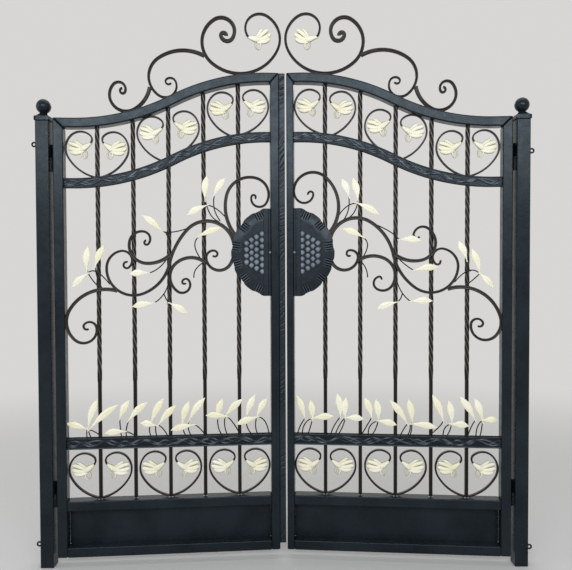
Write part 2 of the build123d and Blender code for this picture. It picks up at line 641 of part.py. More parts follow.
    with BuildPart() as rosette:
        shift_x, shift_y = ROSETTE_SHIFT[side]
        centre = (MIDLINE + shift_x, BAND_TOP + ROSETTE_HEIGHT + shift_y)
        edge = inner - ROSETTE_STRIP
        face = leaf_plane(side, 0)
        hub = Plane(origin=face.from_local_coords((*centre, 0)), x_dir=face.x_dir, z_dir=(0, 0, -forward))
        with BuildSketch(leaf_plane(side, VINE_FRONT)):
            lobed_disc(centre)
        extrude(amount=forward * ROSETTE_SHEET)
        axis = Axis(hub.origin, hub.y_dir)
        sheet, top = VINE_FRONT + ROSETTE_SHEET, VINE_FRONT + ROSETTE_SHEET + ROSETTE_RISE
        with BuildSketch(hub):
            with BuildLine():
                Polyline((0, sheet), (ROSETTE_RADIUS - 2 * ROSETTE_NOTCH, sheet),
                         (ROSETTE_RADIUS * ROSETTE_FIELD, top), (0, top), close=True)
            make_face()
        revolve(axis=axis)
        with BuildSketch(leaf_plane(side, VINE_FRONT)):
            with Locations((edge + TRIM / 2, centre[1])):
                Rectangle(TRIM, TRIM)
        extrude(amount=forward * TRIM, mode=Mode.SUBTRACT)
        half_strip = sqrt((ROSETTE_RADIUS - ROSETTE_NOTCH) ** 2 - (centre[0] - edge) ** 2)
        with BuildSketch(leaf_plane(side, VINE_FRONT)):
            with Locations((edge + ROSETTE_STRIP / 2, centre[1])):
                Rectangle(ROSETTE_STRIP, 2 * half_strip)
        extrude(amount=forward * (ROSETTE_SHEET + ROSETTE_RISE))
    finish(rosette, f"rosette_{side}")

# cover strip between the leaves, carried by the left one
strip_foot = LEAF_BOTTOM + STRIP_SHORT["foot"]
strip_head = CROWN - STRIP_SHORT["head"]
with BuildPart() as cover_strip:
    with BuildSketch(leaf_plane("left", FRONT_FACE + STRIP_LAP - STRIP_DEPTH)):
        with Locations((OUTER_EDGES["left"] + STRIP_WIDTH / 2, (strip_foot + strip_head) / 2)):
            Rectangle(STRIP_WIDTH, strip_head - strip_foot)
    extrude(amount=STRIP_DEPTH)
finish(cover_strip, "cover_strip")
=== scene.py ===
import json
from math import acos, atan2, ceil, cos, exp, hypot, pi, radians, sin, sqrt

import bmesh
import bpy
from mathutils import Matrix, Vector, noise


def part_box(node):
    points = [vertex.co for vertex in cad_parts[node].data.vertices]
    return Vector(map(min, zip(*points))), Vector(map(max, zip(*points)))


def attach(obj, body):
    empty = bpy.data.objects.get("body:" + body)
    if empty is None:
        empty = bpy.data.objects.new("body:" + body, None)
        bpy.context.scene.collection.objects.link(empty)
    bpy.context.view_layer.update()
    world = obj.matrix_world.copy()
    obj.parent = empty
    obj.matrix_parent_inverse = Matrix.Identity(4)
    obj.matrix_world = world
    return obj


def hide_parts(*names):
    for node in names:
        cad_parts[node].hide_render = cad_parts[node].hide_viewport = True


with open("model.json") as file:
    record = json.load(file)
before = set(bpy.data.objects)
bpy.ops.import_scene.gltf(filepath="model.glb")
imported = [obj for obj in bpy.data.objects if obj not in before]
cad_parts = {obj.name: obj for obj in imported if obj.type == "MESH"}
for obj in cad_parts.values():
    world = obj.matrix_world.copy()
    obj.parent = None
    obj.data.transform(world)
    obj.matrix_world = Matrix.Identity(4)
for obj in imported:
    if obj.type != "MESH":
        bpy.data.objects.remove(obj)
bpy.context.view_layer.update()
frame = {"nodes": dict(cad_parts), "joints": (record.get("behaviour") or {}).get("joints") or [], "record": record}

# Wrought iron driveway gate. Pieces of a leaf are drawn in that leaf's own space, in millimetres:
# u runs from the hinge axis towards the middle of the gateway, v runs up and w runs forward.
MM = 0.001
SIDES = ("left", "right")
WAY = {"left": 1, "right": -1}
JOINTS = {joint["child"]: joint for joint in frame["joints"]}

# the middle of the gateway, measured from a hinge axis, and the height of a top rail
MIDLINE = 941
RAIL = 40

# rounded edges of the tubes: their radii, and what counts as one point, a flat face or a sharp edge
TUBE_RADII = {"hinge_stile": 5.0, "lock_stile": 4.5, "top_rail": 6.0, "lower_rails": 4.0}
POST_RADIUS = 3.0
SAME_POINT = 1e-6
FLAT_ANGLE = radians(0.5)
SHARP_ANGLE = radians(30)
SMOOTH_ANGLE = radians(40)

# weld-on hinges behind the stiles, and the height of each one's foot
KNUCKLE_RADIUS = 9
KNUCKLE_LENGTH = 55
KNUCKLE_EASE = 1
KNUCKLE_GAP = 1
BOSS_RADIUS = 3
BOSS_RISE = 0.4
HINGE_GAP = 10
PIN_RADIUS = 5
PIN_PLAY = 0.2
PIN_SHORT = 8
PIN_POINTS = 20
HINGE_PLATE = 6
POST_STRAP = 44
LEAF_STRAP = 36
HINGE_FEET = (230, 1630)

# crowned line of the top rail
SWEEP_START = 75
SWEEP_END = 880
EAVE = 1840
CROWN = 2038

# twisted bars: square at the foot, then drawn to a section between two radii
BAR_COUNT = 5
BAR_SIDE = 15
BAR_EASE = 2.2
BAR_FLUTE = 7.6
BAR_CREST = 9.7
BAR_ENDS = {"left": (132, 133), "right": (136, 130)}
BAR_POINTS = 24
BAR_STEP = 4.0
BAR_SEAT = 2
BAR_PLAIN = 20
BAR_HEAD = 8
BAR_PAINTED_HIGHLIGHT = 0.6
TWIST_FOOT = 830
TWIST_EASE = 70
QUARTER_TURN = 40

# bands, and the share of painted highlight on each one's pressed pattern, less on the less lit lower band
BAND = 40
BAND_DROP = 242
BAND_SINK = 3
BAND_STEP = 2.6
BAND_SAMPLES = 22
BAND_EASE = 1.2
BAND_BACK = 0.03
BANDS = (("upper_band", BAND_DROP, BAND, 1.0), ("lower_band", None, BAND + 6, 0.6))
BAND_PHASES = {"left": 0.6, "right": 2.1}
# pressed lines across a band: sway, wavelength, share of the phase and shift
RELIEF_LINES = ((0.28, 187, 1, 0.0), (0.25, 139, 2, 2.2), (0.17, 83, 3, 4.1))
RELIEF_WIDTH = 0.055
RELIEF_HEIGHT = 2.1
LIP_PLACES = (0.05, 0.95)
LIP_WIDTH = 0.04
LIP_HEIGHT = 1.7
GRAIN_HEIGHT = 0.15

# forged bars: largest step along a curve and largest turn between two sections
STEP = 4.5
TURN = radians(8)

# scrolls, as a start, a heading and tangent arcs of (radius, sweep), plus turning left
HEART_BAR = 8
HEART_TIP = 7
HEART_DEPTH = 14
# bars with a pair of half hearts, and how far each one of the upper zone is raised
HEARTS = ((0, (0, -4)), (2, (-16, -6)), (4, (-12, -4)))
HEART_REACH = 14
HEART_LEAN = 77
HEART_SEAT = 6
HEART_BITE = 2
HEART_ARCS = [(168, -48), (74, -71), (56, -91), (22, -91)]
VINE_DEPTH = 12
VINE_WIDTHS = (16, 8.5)
VINES = {
    "left": [
        ((-687, 605), 164, [(169, 75), (99, 79), (53, 145), (28, 125), (13, 163)]),
        ((-207, 792), 96, [(112, 132), (312, 29), (174, -56), (109, -117), (71, -71), (39, -151),
                           (13, -238)]),
        ((-470, 754), 224, [(130, -47), (74, -106), (50, -81), (31, -123), (9, -219)]),
        ((-189, 819), 134, [(192, -58), (100, -91), (70, -105), (34, -165), (9, -212)]),
        ((-206, 756), 257, [(150, -17), (54, -146), (30, -88), (20, -54), (11, -183)]),
        ((-326, 720), 141, [(94, 79), (75, 103), (33, 161), (15, 129), (8, 166)]),
    ],
    "right": [
        ((-679, 608), 162, [(167, 94), (78, 58), (58, 143), (25, 142), (13, 154)]),
        ((-195, 801), 94, [(110, 118), (211, 46), (228, -42), (110, -122), (74, -83), (36, -147),
                           (12, -160)]),
        ((-465, 750), 216, [(136, -47), (73, -134), (37, -81), (42, -26), (14, -155)]),
        ((-181, 828), 136, [(169, -93), (79, -127), (55, -53), (38, -129), (11, -195)]),
        ((-199, 741), 267, [(57, -172), (25, -35), (32, -69), (13, -123), (8, -106)]),
        ((-316, 728), 147, [(108, 58), (78, 97), (46, 89), (28, 134), (9, 129)]),
    ],
}
# thin stems: leaf end, middle, root
STEM = 5
STEM_RUNS = 12
SPRIG_SEAT = 4
STEMS = {
    "left": [
        ((-318, 957), (-279, 942), (-236, 900)), ((-288, 998), (-288, 941), (-264, 893)),
        ((-325, 978), (-303, 917), (-268, 890)), ((-503, 848), (-455, 847), (-396, 863)),
        ((-490, 846), (-480, 827), (-473, 806)), ((-355, 826), (-369, 788), (-345, 735)),
        ((-374, 657), (-366, 692), (-333, 722)), ((-561, 677), (-521, 696), (-485, 734)),
        ((-538, 553), (-490, 604), (-476, 672)), ((-474, 552), (-486, 566), (-497, 590)),
        ((-806, 690), (-789, 655), (-752, 612)), ((-804, 678), (-768, 683), (-716, 632)),
        ((-774, 702), (-765, 655), (-745, 613)),
    ],
    "right": [
        ((-305, 964), (-266, 950), (-232, 912)), ((-275, 990), (-273, 938), (-252, 893)),
        ((-312, 974), (-296, 925), (-262, 898)), ((-482, 811), (-448, 842), (-390, 873)),
        ((-333, 822), (-352, 790), (-333, 741)), ((-352, 656), (-345, 693), (-322, 726)),
        ((-542, 685), (-514, 703), (-476, 736)), ((-529, 556), (-491, 597), (-470, 652)),
        ((-472, 553), (-487, 568), (-495, 592)), ((-807, 671), (-762, 683), (-706, 636)),
        ((-754, 726), (-760, 697), (-772, 681)), ((-805, 669), (-783, 648), (-748, 620)),
    ],
}
# leaves: foot, direction and length
LEAF_WIDTH = 29
LEAF_STEPS = 20
LEAF_ACROSS = 10
LEAF_DROOP = 0.045
LEAF_TAIL = 8
LEAF_NECK = 2.5
LEAF_EDGE = 0.3
LEAF_ARCH = 3.0
LEAF_DIP = 1.5
LEAF_CROWN = 3.4
LEAF_SHEET = 2.2
LEAF_SINK = 1.5
RIB_WIDTH = 0.16
BACK_TONE = 0.85
VINE_LEAVES = {
    "left": [
        ((-325, 978), 86, 103), ((-288, 998), 58, 84), ((-318, 956), 206, 92), ((-503, 848), 140, 104),
        ((-355, 826), 22, 103), ((-561, 677), 182, 76), ((-538, 553), 189, 90), ((-474, 552), 329, 84),
        ((-806, 688), 88, 100), ((-774, 702), 68, 98), ((-803, 676), 221, 86),
    ],
    "right": [
        ((-312, 974), 78, 96), ((-275, 990), 69, 80), ((-305, 964), 207, 106), ((-482, 811), 182, 90),
        ((-333, 822), 24, 92), ((-542, 685), 172, 100), ((-529, 556), 178, 89), ((-472, 553), 341, 85),
        ((-807, 671), 73, 108), ((-754, 726), 67, 86), ((-806, 670), 225, 79),
    ],
}

# sprigs on the lower band, each of three leaves: a leaf's foot, direction and length, then a point midway
# down its stem and the stem's root
SPRIGS = {
    "left": [
        ((-815, 36), 164, 89, (-817, 12), -814), ((-811, 38), 72, 130, (-805, 12), -794),
        ((-807, 32), 41, 157, (-782, 22), -745), ((-683, 74), 63, 89, (-680, 30), -675),
        ((-647, 66), 45, 110, (-657, 26), -654), ((-661, 22), 184, 84, (-638, 14), -604),
        ((-537, 44), 169, 64, (-536, 18), -531), ((-555, 54), 63, 118, (-562, 24), -552),
        ((-525, 45), 48, 111, (-504, 27), -485), ((-376, 43), 192, 101, (-354, 27), -327),
        ((-427, 42), 74, 106, (-421, 16), -408), ((-400, 59), 55, 119, (-401, 24), -386),
        ((-240, 74), 175, 90, (-213, 44), -184), ((-280, 72), 75, 82, (-276, 26), -258),
        ((-249, 74), 45, 104, (-250, 32), -237), ((-110, 70), 198, 97, (-80, 48), -64),
        ((-160, 72), 68, 100, (-156, 28), -133), ((-116, 71), 60, 92, (-121, 28), -109),
    ],
    "right": [
        ((-90, 62), 70, 107, (-70, 30), -58), ((-121, 58), 84, 85, (-112, 24), -101),
        ((-122, 63), 173, 89, (-90, 40), -78), ((-238, 70), 83, 102, (-213, 34), -197),
        ((-260, 68), 92, 86, (-246, 26), -227), ((-262, 69), 184, 74, (-238, 42), -216),
        ((-369, 70), 71, 91, (-348, 34), -324), ((-396, 61), 84, 88, (-385, 22), -365),
        ((-393, 57), 191, 82, (-362, 34), -356), ((-516, 46), 54, 123, (-499, 20), -486),
        ((-535, 54), 81, 98, (-533, 20), -525), ((-528, 46), 187, 112, (-526, 18), -513),
        ((-663, 60), 68, 119, (-642, 32), -598), ((-697, 49), 83, 100, (-689, 20), -674),
        ((-693, 49), 185, 75, (-669, 30), -663), ((-792, 65), 58, 118, (-776, 36), -760),
        ((-822, 60), 72, 105, (-816, 16), -808), ((-822, 67), 179, 64, (-802, 38), -796),
    ],
}
# crest: each scroll's widths stand before its arcs
CREST_DEPTH = 14
CREST_MIDDLE = 50
CREST_SEAT = -560
CREST = [
    ((-659, 71), 186, (9, 16), [(11, 137), (10, 100), (28, 167), (66, 160), (131, 50)]),
    ((-325, 209), 152, (16, 7), [(179, 64), (93, 108), (47, 149), (24, 104), (12, 200)]),
    ((-235, 295), 90, (16, 9),
     [(11, 193), (26, 133), (54, 157), (111, 108), (177, 102), (108, 86), (60, 158)]),
]

# rosette: each half disc is struck from a centre of its own, beside the midline
ROSETTE_RADIUS = 190
ROSETTE_OFFSETS = {"left": 30, "right": 26}
ROSETTE_HEIGHT = 762
ROSETTE_NOTCH = 4
ROSETTE_SHEET = 5
ROSETTE_RISE = 9
ROSETTE_BULGE = 46
ROSETTE_TURNS = 320
ROSETTE_RADIAL = 60
ROSETTE_TONE = 0.05
# middles of the crimped parts of the rim, in degrees, and their pleats
CRIMPS = {"left": (64.6, 37.9, 8.4, -15.7, -38.7, -63.8), "right": (64.7, 40.3, 8.5, -14.5, -38.6, -64.6)}
CRIMP_NOTCH = 17
CRIMP_WIDTH = 19
PLEAT = 10
PLEAT_REACH = 38
PLEAT_FADE = 14
PLEAT_DEPTH = 2.2
PLEAT_SINK = 1.6
PLEAT_PAINTED_HIGHLIGHT = 0.4
# columns of studs: distance from the edge strip and half height of the column
STUD_COLUMNS = ((5, 98), (29, 86), (50, 72), (70, 45))
STUD_PITCH = 26
STUD_HALF = 11.5
STUD_ABOVE = 9.5
STUD_BELOW = 14
STUD_HEIGHT = 5.5
# edge strip along the lock stile: distance across and height over the disc's back plane
ROSETTE_STRIP = 31
STRIP_PROFILE = (
    (0, 0), (0, 12), (1.2, 13.7), (20, 14), (21, 12), (22, 14), (28, 14), (30, 13), (ROSETTE_STRIP, 11),
    (ROSETTE_STRIP, 0),
)
STRIP_EASE = 2
RIVET_PLACE = 27
RIVET_RADIUS = 5
RIVET_HEIGHT = 3.5
RIVET_SINK = 0.5
DOME_POINTS = 14
DOME_LEVELS = 5

# acanthus end of a scroll, x outwards and y up from the scroll's tip: root, tip, widths, bow and brightness
# the brightness is painted light: the hanging prongs are darker as painted shade
ACANTHUS_TURN = radians(46)
CREST_TURN = radians(74)
FINGER_STEPS = 14
FINGER_ACROSS = 8
FINGER_ARCH = 4.0
FINGER_SPREAD = 0.6
FINGER_ROUND = 0.72
FINGER_LEVEL = -3
FINGER_LAYER = 0.5
ACANTHUS = (
    ((24, -26), (21, -65), (8, 8), -8, 0.65),
    ((29, -28), (23, -66), (7, 8), 9, 0.85),
    ((-5, 3), (46, -30), (8, 28), -2, 0.95),
    ((26, -32), (84, -36), (14, 20), -7, 1.0),
    ((30, -28), (93, -19), (14, 21), -4, 1.0),
    ((30, -24), (90, 0), (13, 18), 3, 1.0),
    ((26, -19), (67, 10), (10, 14), 2, 0.95),
)

# cover strip: slanted rope pattern between two lips
COVER_STEP = 2.2
COVER_SAMPLES = 16
COVER_PITCH = 27
COVER_TONE = 0.05
COVER_FACE = 1.4
COVER_GROOVE = 2.2

# post caps: plate, low slope, and a ball on a round seat
CAP_PLATE = 18
CAP_EASE = 1.5
CAP_SLOPE = 16
CAP_INSET = 3
CAP_CORNER = 3.0
CAP_SIDE_POINTS = 10
SLOPE_LEVELS = 6
BALL_SEAT = 14
BALL_RADIUS = 30
BALL_LEVELS = 24

# welded eyes on the posts
EYE_RADIUS = 8.2
EYE_ROD = 3.6
EYE_REACH = 14
EYE_INSET = 12
EYE_TURNS = 24
EYE_POINTS = 12
EYE_PAD = (7, 7, 10)
EYE_PAD_EASE = 0.8

# weld beads at the feet of the bars
WELD_SHIFTS = (-6, 6)
WELD_SIZE = (5, 3, 4)
WELD_ROWS = 6
WELD_POINTS = 10
WELD_ROUGH = 0.18


def leaf_body(side):
    return f"leaf_{side}"


def leaf_space(side):
    """Matrix from a leaf's drawing space to the row frame in metres."""
    joint = JOINTS[leaf_body(side)]
    ajar = radians(-joint["range_deg"][0])
    c, s = cos(ajar) * MM, sin(ajar) * MM
    x, y = joint["pos_m"][:2]
    return Matrix(((WAY[side] * c, 0, WAY[side] * s, x), (s, 0, -c, y), (0, MM, 0, 0), (0, 0, 0, 1)))


SPACES = {side: leaf_space(side) for side in SIDES}
POST_SPACE = Matrix.Scale(MM, 4)
SWAP_YZ = Matrix(((1, 0, 0, 0), (0, 0, 1, 0), (0, 1, 0, 0), (0, 0, 0, 1)))


def span(node, side="left"):
    """Lowest and highest corner of a leaf's node in drawing space."""
    back = SPACES[side].inverted()
    points = [back @ vertex.co for vertex in frame["nodes"][node].data.vertices]
    return [Vector(pick(p[k] for p in points) for k in range(3)) for pick in (min, max)]


BAY = round(span("hinge_stile_left")[1].x)
INNER = {side: round(span(f"lock_stile_{side}", side)[0].x) for side in SIDES}
BACK = round(span("hinge_stile_left")[0].z)
KICK_TOP = round(span("lower_rails_left")[1].y)
BAND_TOP = round(span("lower_band_left")[1].y)
BAR_REAR, BAR_FRONT = (round(corner.z) for corner in span("bars_left"))
MIDDLE = (BAR_REAR + BAR_FRONT) / 2
BAND_SHEET = round(span("lower_band_left")[1].z) - BAR_FRONT
VINE_FRONT = BAR_FRONT + VINE_DEPTH
SWEEP_RUN = SWEEP_END - SWEEP_START
SWEEP_RADIUS = (SWEEP_RUN**2 + (CROWN - EAVE) ** 2) / (4 * (CROWN - EAVE))


def clamp(value, low=0, high=1):
    return min(max(value, low), high)


def bell(offset, width, power=2):
    """1 at no offset, falling to nothing past the width."""
    return exp(-((offset / width) ** power))


def from_turn(turn):
    """Distance to the nearest whole turn."""
    return turn - round(turn)


def angles(count):
    """Angles spread evenly round a circle."""
    return [2 * pi * k / count for k in range(count)]


def from_middle(*points):
    """Points that were measured from the gateway's middle and the lower band's top."""
    return [(MIDLINE + x, BAND_TOP + y) for x, y in points]


# shapes are (points, faces, shades); a shade runs from 0, painted shade in hollows, to 1, painted highlight on
# crests
def skin(rings, shades=None):
    """Closed skin over rings of points that all have the same count."""
    n = len(rings[0])
    points = [point for ring in rings for point in ring]
    faces = [
        (r * n + k, r * n + (k + 1) % n, (r + 1) * n + (k + 1) % n, (r + 1) * n + k)
        for r in range(len(rings) - 1) for k in range(n)
    ]
    faces += [tuple(range(n)), tuple(range(len(points) - n, len(points)))]
    flat = [shade for ring in shades for shade in ring] if shades else [1.0] * len(points)
    return points, faces, flat


def settle(name, mesh, body, slot, finish, replaced):
    """Smooth painted object on a body; finish is a material other than the slot's."""
    mesh.shade_smooth()
    made = bpy.data.objects.new(name, mesh)
    bpy.context.scene.collection.objects.link(made)
    mesh.materials.clear()
    mesh.materials.append(MATERIALS[finish or slot])
    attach(made, body)
    if replaced:
        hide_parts(*replaced)
    return made


def piece(name, body, space, shapes, slot, replaced=(), finish=None):
    """One mesh object from several shapes, in the row frame."""
    points, faces, shades = [], [], []
    for shape_points, shape_faces, shape_shades in shapes:
        base = len(points)
        points += [space @ Vector(point) for point in shape_points]
        faces += [tuple(base + k for k in face) for face in shape_faces]
        shades += shape_shades
    mesh = bpy.data.meshes.new(name)
    mesh.from_pydata(points, [], faces)
    mesh.attributes.new("shade", "FLOAT", "POINT").data.foreach_set("value", shades)
    built = bmesh.new()
    built.from_mesh(mesh)
    bmesh.ops.recalc_face_normals(built, faces=built.faces)
    built.to_mesh(mesh)
    built.free()
    settle(name, mesh, body, slot, finish, replaced)
    mesh.set_sharp_from_angle(angle=SMOOTH_ANGLE)


def leaf_piece(name, side, shapes, slot, node=None, finish=None):
    """Piece of a leaf, in its space; node is what it replaces, without the side."""
    replaced = (f"{node}_{side}",) if node else ()
    piece(f"{name}_{side}", leaf_body(side), SPACES[side], shapes, slot, replaced, finish)


def rounded(node, radius, slot, body):
    """Copy of a plain node with its sharp edges rounded."""
    mesh = frame["nodes"][node].data.copy()
    built = bmesh.new()
    built.from_mesh(mesh)
    bmesh.ops.remove_doubles(built, verts=built.verts, dist=SAME_POINT)
    bmesh.ops.dissolve_limit(built, angle_limit=FLAT_ANGLE, verts=built.verts, edges=built.edges)
    edges = [edge for edge in built.edges if edge.is_manifold and edge.calc_face_angle() > SHARP_ANGLE]
    bmesh.ops.bevel(built, geom=edges, offset=radius * MM, segments=3, profile=0.5, affect="EDGES")
    bmesh.ops.recalc_face_normals(built, faces=built.faces)
    built.to_mesh(mesh)
    built.free()
    made = settle(f"{node}_rounded", mesh, body, slot, None, (node,))
    made.modifiers.new("flat faces", "WEIGHTED_NORMAL").weight = 100


# refractive index of the satin coats, their gloss, and the scales of their unevenness
COAT_INDEX = 1.28
COAT_ROUGHNESS = 0.16
CLOUD_SCALE = 7
GLOSS_SCALE = 34
DUST_SCALE = 260
DUST_COLOUR = (0.30, 0.30, 0.28, 1)
PEEL_SCALE = 420
PEEL_STRENGTH = 0.22
PEEL_DEPTH = 0.0006
BLUE_TINT = (0.74, 0.89, 1.0, 1)
WARM_TINT = (1, 0.96, 0.92, 1)
PLAIN_TINT = (1, 1, 1, 1)


def add(nodes, kind, values):
    """New shader node with constants on its sockets."""
    made = nodes.new(f"ShaderNode{kind}")
    for socket, value in values.items():
        made.inputs[socket].default_value = value
    return made


def new_material(name, values):
    """Material with its nodes, links and main shader, which has the given constants."""
    material = bpy.data.materials.new(name)
    material.use_nodes = True
    nodes, links = material.node_tree.nodes, material.node_tree.links
    shader = nodes["Principled BSDF"]
    for socket, value in values.items():
        shader.inputs[socket].default_value = value
    return material, nodes, links, shader


def paint(name, low, high, rough, coat=0.08, metallic=0.0, fleck=0.0, shaded=None, tint=BLUE_TINT):
    """Sprayed coat: cloudy colour, uneven gloss and a fine orange-peel surface."""
    material, nodes, links, shader = new_material(name, {
        "Metallic": metallic, "IOR": COAT_INDEX, "Specular Tint": tint,
        "Coat Weight": coat, "Coat Roughness": COAT_ROUGHNESS,
    })
    place = nodes.new("ShaderNodeTexCoord")

    def cloud(scale, detail):
        made = add(nodes, "TexNoise", {"Scale": scale, "Detail": detail})
        links.new(place.outputs["Object"], made.inputs["Vector"])
        return made.outputs["Fac"]

    def spread(source, low_out, high_out, low_in=0.35, high_in=0.65):
        limits = {"From Min": low_in, "From Max": high_in, "To Min": low_out, "To Max": high_out}
        made = add(nodes, "MapRange", limits)
        links.new(source, made.inputs["Value"])
        return made.outputs["Result"]

    def blend(factor, first, second):
        """Mix of two colours, each one written out or another node's output."""
        made = nodes.new("ShaderNodeMix")
        made.data_type = "RGBA"
        for socket, colour in (("A", first), ("B", second)):
            if isinstance(colour, tuple):
                made.inputs[socket].default_value = colour
            else:
                links.new(colour, made.inputs[socket])
        links.new(factor, made.inputs["Factor"])
        return made.outputs["Result"]

    colour = blend(spread(cloud(CLOUD_SCALE, 6), 0, 1), (*low, 1), (*high, 1))
    # painted shade and highlight: the shade attribute blends the shaded colour in at 0 and the cloudy colour at 1
    if shaded:
        painted_light_mask = nodes.new("ShaderNodeAttribute")
        painted_light_mask.attribute_name = "shade"
        colour = blend(spread(painted_light_mask.outputs["Fac"], 0, 1, 0.0, 1.0), (*shaded, 1), colour)
    if fleck:
        colour = blend(spread(cloud(DUST_SCALE, 3), 0, fleck, 0.60, 0.78), colour, DUST_COLOUR)
    links.new(colour, shader.inputs["Base Color"])
    links.new(spread(cloud(GLOSS_SCALE, 4), rough - 0.06, rough + 0.08), shader.inputs["Roughness"])
    peel = add(nodes, "Bump", {"Strength": PEEL_STRENGTH, "Distance": PEEL_DEPTH})
    links.new(cloud(PEEL_SCALE, 2), peel.inputs["Height"])
    links.new(peel.outputs["Normal"], shader.inputs["Normal"])
    return material


# darkest and lightest colour, roughness, and what else sets a coat apart
# on relief, scroll and bar paints the colours are painted highlights; gold's shaded colour is painted shade
PAINTS = {
    "frame_paint": ((0.005, 0.008, 0.011), (0.011, 0.016, 0.020), 0.28, {"fleck": 0.04}),
    "relief_paint": ((0.15, 0.175, 0.21), (0.26, 0.295, 0.34), 0.30, {"shaded": (0.003, 0.005, 0.007)}),
    "scroll_paint": ((0.10, 0.09, 0.08), (0.16, 0.145, 0.13), 0.34,
                     {"shaded": (0.013, 0.009, 0.007), "tint": WARM_TINT}),
    "bar_paint": ((0.16, 0.14, 0.115), (0.30, 0.27, 0.23), 0.34,
                  {"shaded": (0.008, 0.006, 0.004), "tint": WARM_TINT}),
    "gold_paint": ((0.90, 0.84, 0.61), (0.96, 0.92, 0.76), 0.42,
                   {"coat": 0.05, "shaded": (0.14, 0.13, 0.03), "tint": PLAIN_TINT}),
    "hinge_steel": ((0.012, 0.014, 0.017), (0.03, 0.033, 0.037), 0.42,
                    {"coat": 0.05, "metallic": 0.2, "fleck": 0.08}),
}
MATERIALS = {name: paint(name, *coat, **extra) for name, (*coat, extra) in PAINTS.items()}


def sweep_point(x, drop):
    """Height and slope angle of the crowned line at x, drop mm under the rail's upper edge."""
    if x <= SWEEP_START:
        return EAVE - drop, 0.0
    rising = x <= SWEEP_START + SWEEP_RUN / 2
    run = x - SWEEP_START if rising else max(SWEEP_END - x, 0)
    fall = sqrt(SWEEP_RADIUS**2 - run**2)
    height = EAVE - drop + SWEEP_RADIUS - fall if rising else CROWN - drop - SWEEP_RADIUS + fall
    return height, atan2(run, fall)


def bar_places(side):
    """Centre lines of the bars."""
    first, last = BAR_ENDS[side]
    pitch = (INNER[side] - BAY - first - last) / (BAR_COUNT - 1)
    return [BAY + first + pitch * k for k in range(BAR_COUNT)]


def scroll_stations(start, heading, widths, arcs, flip=1):
    """Stations of x, y, heading and half width along tangent arcs."""
    root, tip = widths
    length = sum(radius * radians(abs(sweep)) for radius, sweep in arcs)
    x, y = start
    angle = radians(heading)
    run = 0.0
    stations = [(x, y, angle, root / 2)]
    for radius, sweep in arcs:
        turn = radians(sweep * flip)
        arc = radius * abs(turn)
        reach = radius if turn > 0 else -radius
        centre_x, centre_y = x - reach * sin(angle), y + reach * cos(angle)
        count = ceil(max(abs(turn) / TURN, arc / STEP))
        for k in range(1, count + 1):
            a = angle + turn * k / count
            half = (root + (tip - root) * (run + arc * k / count) / length) / 2
            stations.append((centre_x + reach * sin(a), centre_y - reach * cos(a), a, half))
        x, y, angle = stations[-1][:3]
        run += arc
    return stations


def stem_stations(start, middle, end):
    """Stations along the parabola through three points."""
    pull = [2 * m - (s + e) / 2 for s, m, e in zip(start, middle, end)]
    stations = []
    for k in range(STEM_RUNS + 1):
        t = k / STEM_RUNS
        x, y = ((1 - t) ** 2 * s + 2 * t * (1 - t) * p + t**2 * e for s, p, e in zip(start, pull, end))
        slope_x, slope_y = ((1 - t) * (p - s) + t * (e - p) for s, p, e in zip(start, pull, end))
        stations.append((x, y, atan2(slope_y, slope_x), STEM / 2))
    return stations


def section(right, middle):
    """Closed section of a forged bar: shares of its half width and depth, each with a shade."""
    left = [(-across, deep, shade) for across, deep, shade in right]
    return [left[0], *right, middle, *left[:0:-1]]


# the grooved section carries a painted highlight on its two shoulders; the rounded one and the rod are plain
GROOVED = section([(0.82, 0, 0), (1, 0.1, 0), (1, 0.78, 0), (0.86, 0.94, 0), (0.62, 1, 0.55),
                   (0.36, 0.95, 0)], (0, 0.88, 0))
ROUNDED = section([(0.6, 0, 0), (0.92, 0.06, 0), (1, 0.16, 0), (1, 0.84, 0), (0.92, 0.94, 0),
                   (0.6, 1, 0)], (0, 1, 0))
ROD = [(cos(a), 0.5 + 0.5 * sin(a), 0) for a in angles(10)]


def forged(stations, profile, rear, depth, keep=lambda u, v: (u, v)):
    """Bar with a given section swept along stations; keep limits where its points may lie."""
    rings = [
        [(*keep(x - across * half * sin(angle), y + across * half * cos(angle)), rear + deep * depth)
         for across, deep, _ in profile] for x, y, angle, half in stations
    ]
    return skin(rings, [[shade for _, _, shade in profile]] * len(rings))


def inside(low, high):
    """Limit that holds points between two upright edges and under the top rail."""
    def keep(u, v):
        u = clamp(u, low, high)
        return u, min(v, sweep_point(u, RAIL)[0] + HEART_BITE)
    return keep


def shell(steps, across, point, back):
    """Thin closed sheet; point(t, p) gives u, v, front and rear levels and the front's shade."""
    rings, shades = [], []
    for i in range(steps + 1):
        row = [point(i / steps, 2 * j / across - 1) for j in range(across + 1)]
        rings.append([(u, v, front) for u, v, front, _, _ in row])
        rings[-1] += [(u, v, rear) for u, v, _, rear, _ in row[::-1]]
        shades.append([shade for *_, shade in row] + [back] * len(row))
    return skin(rings, shades)


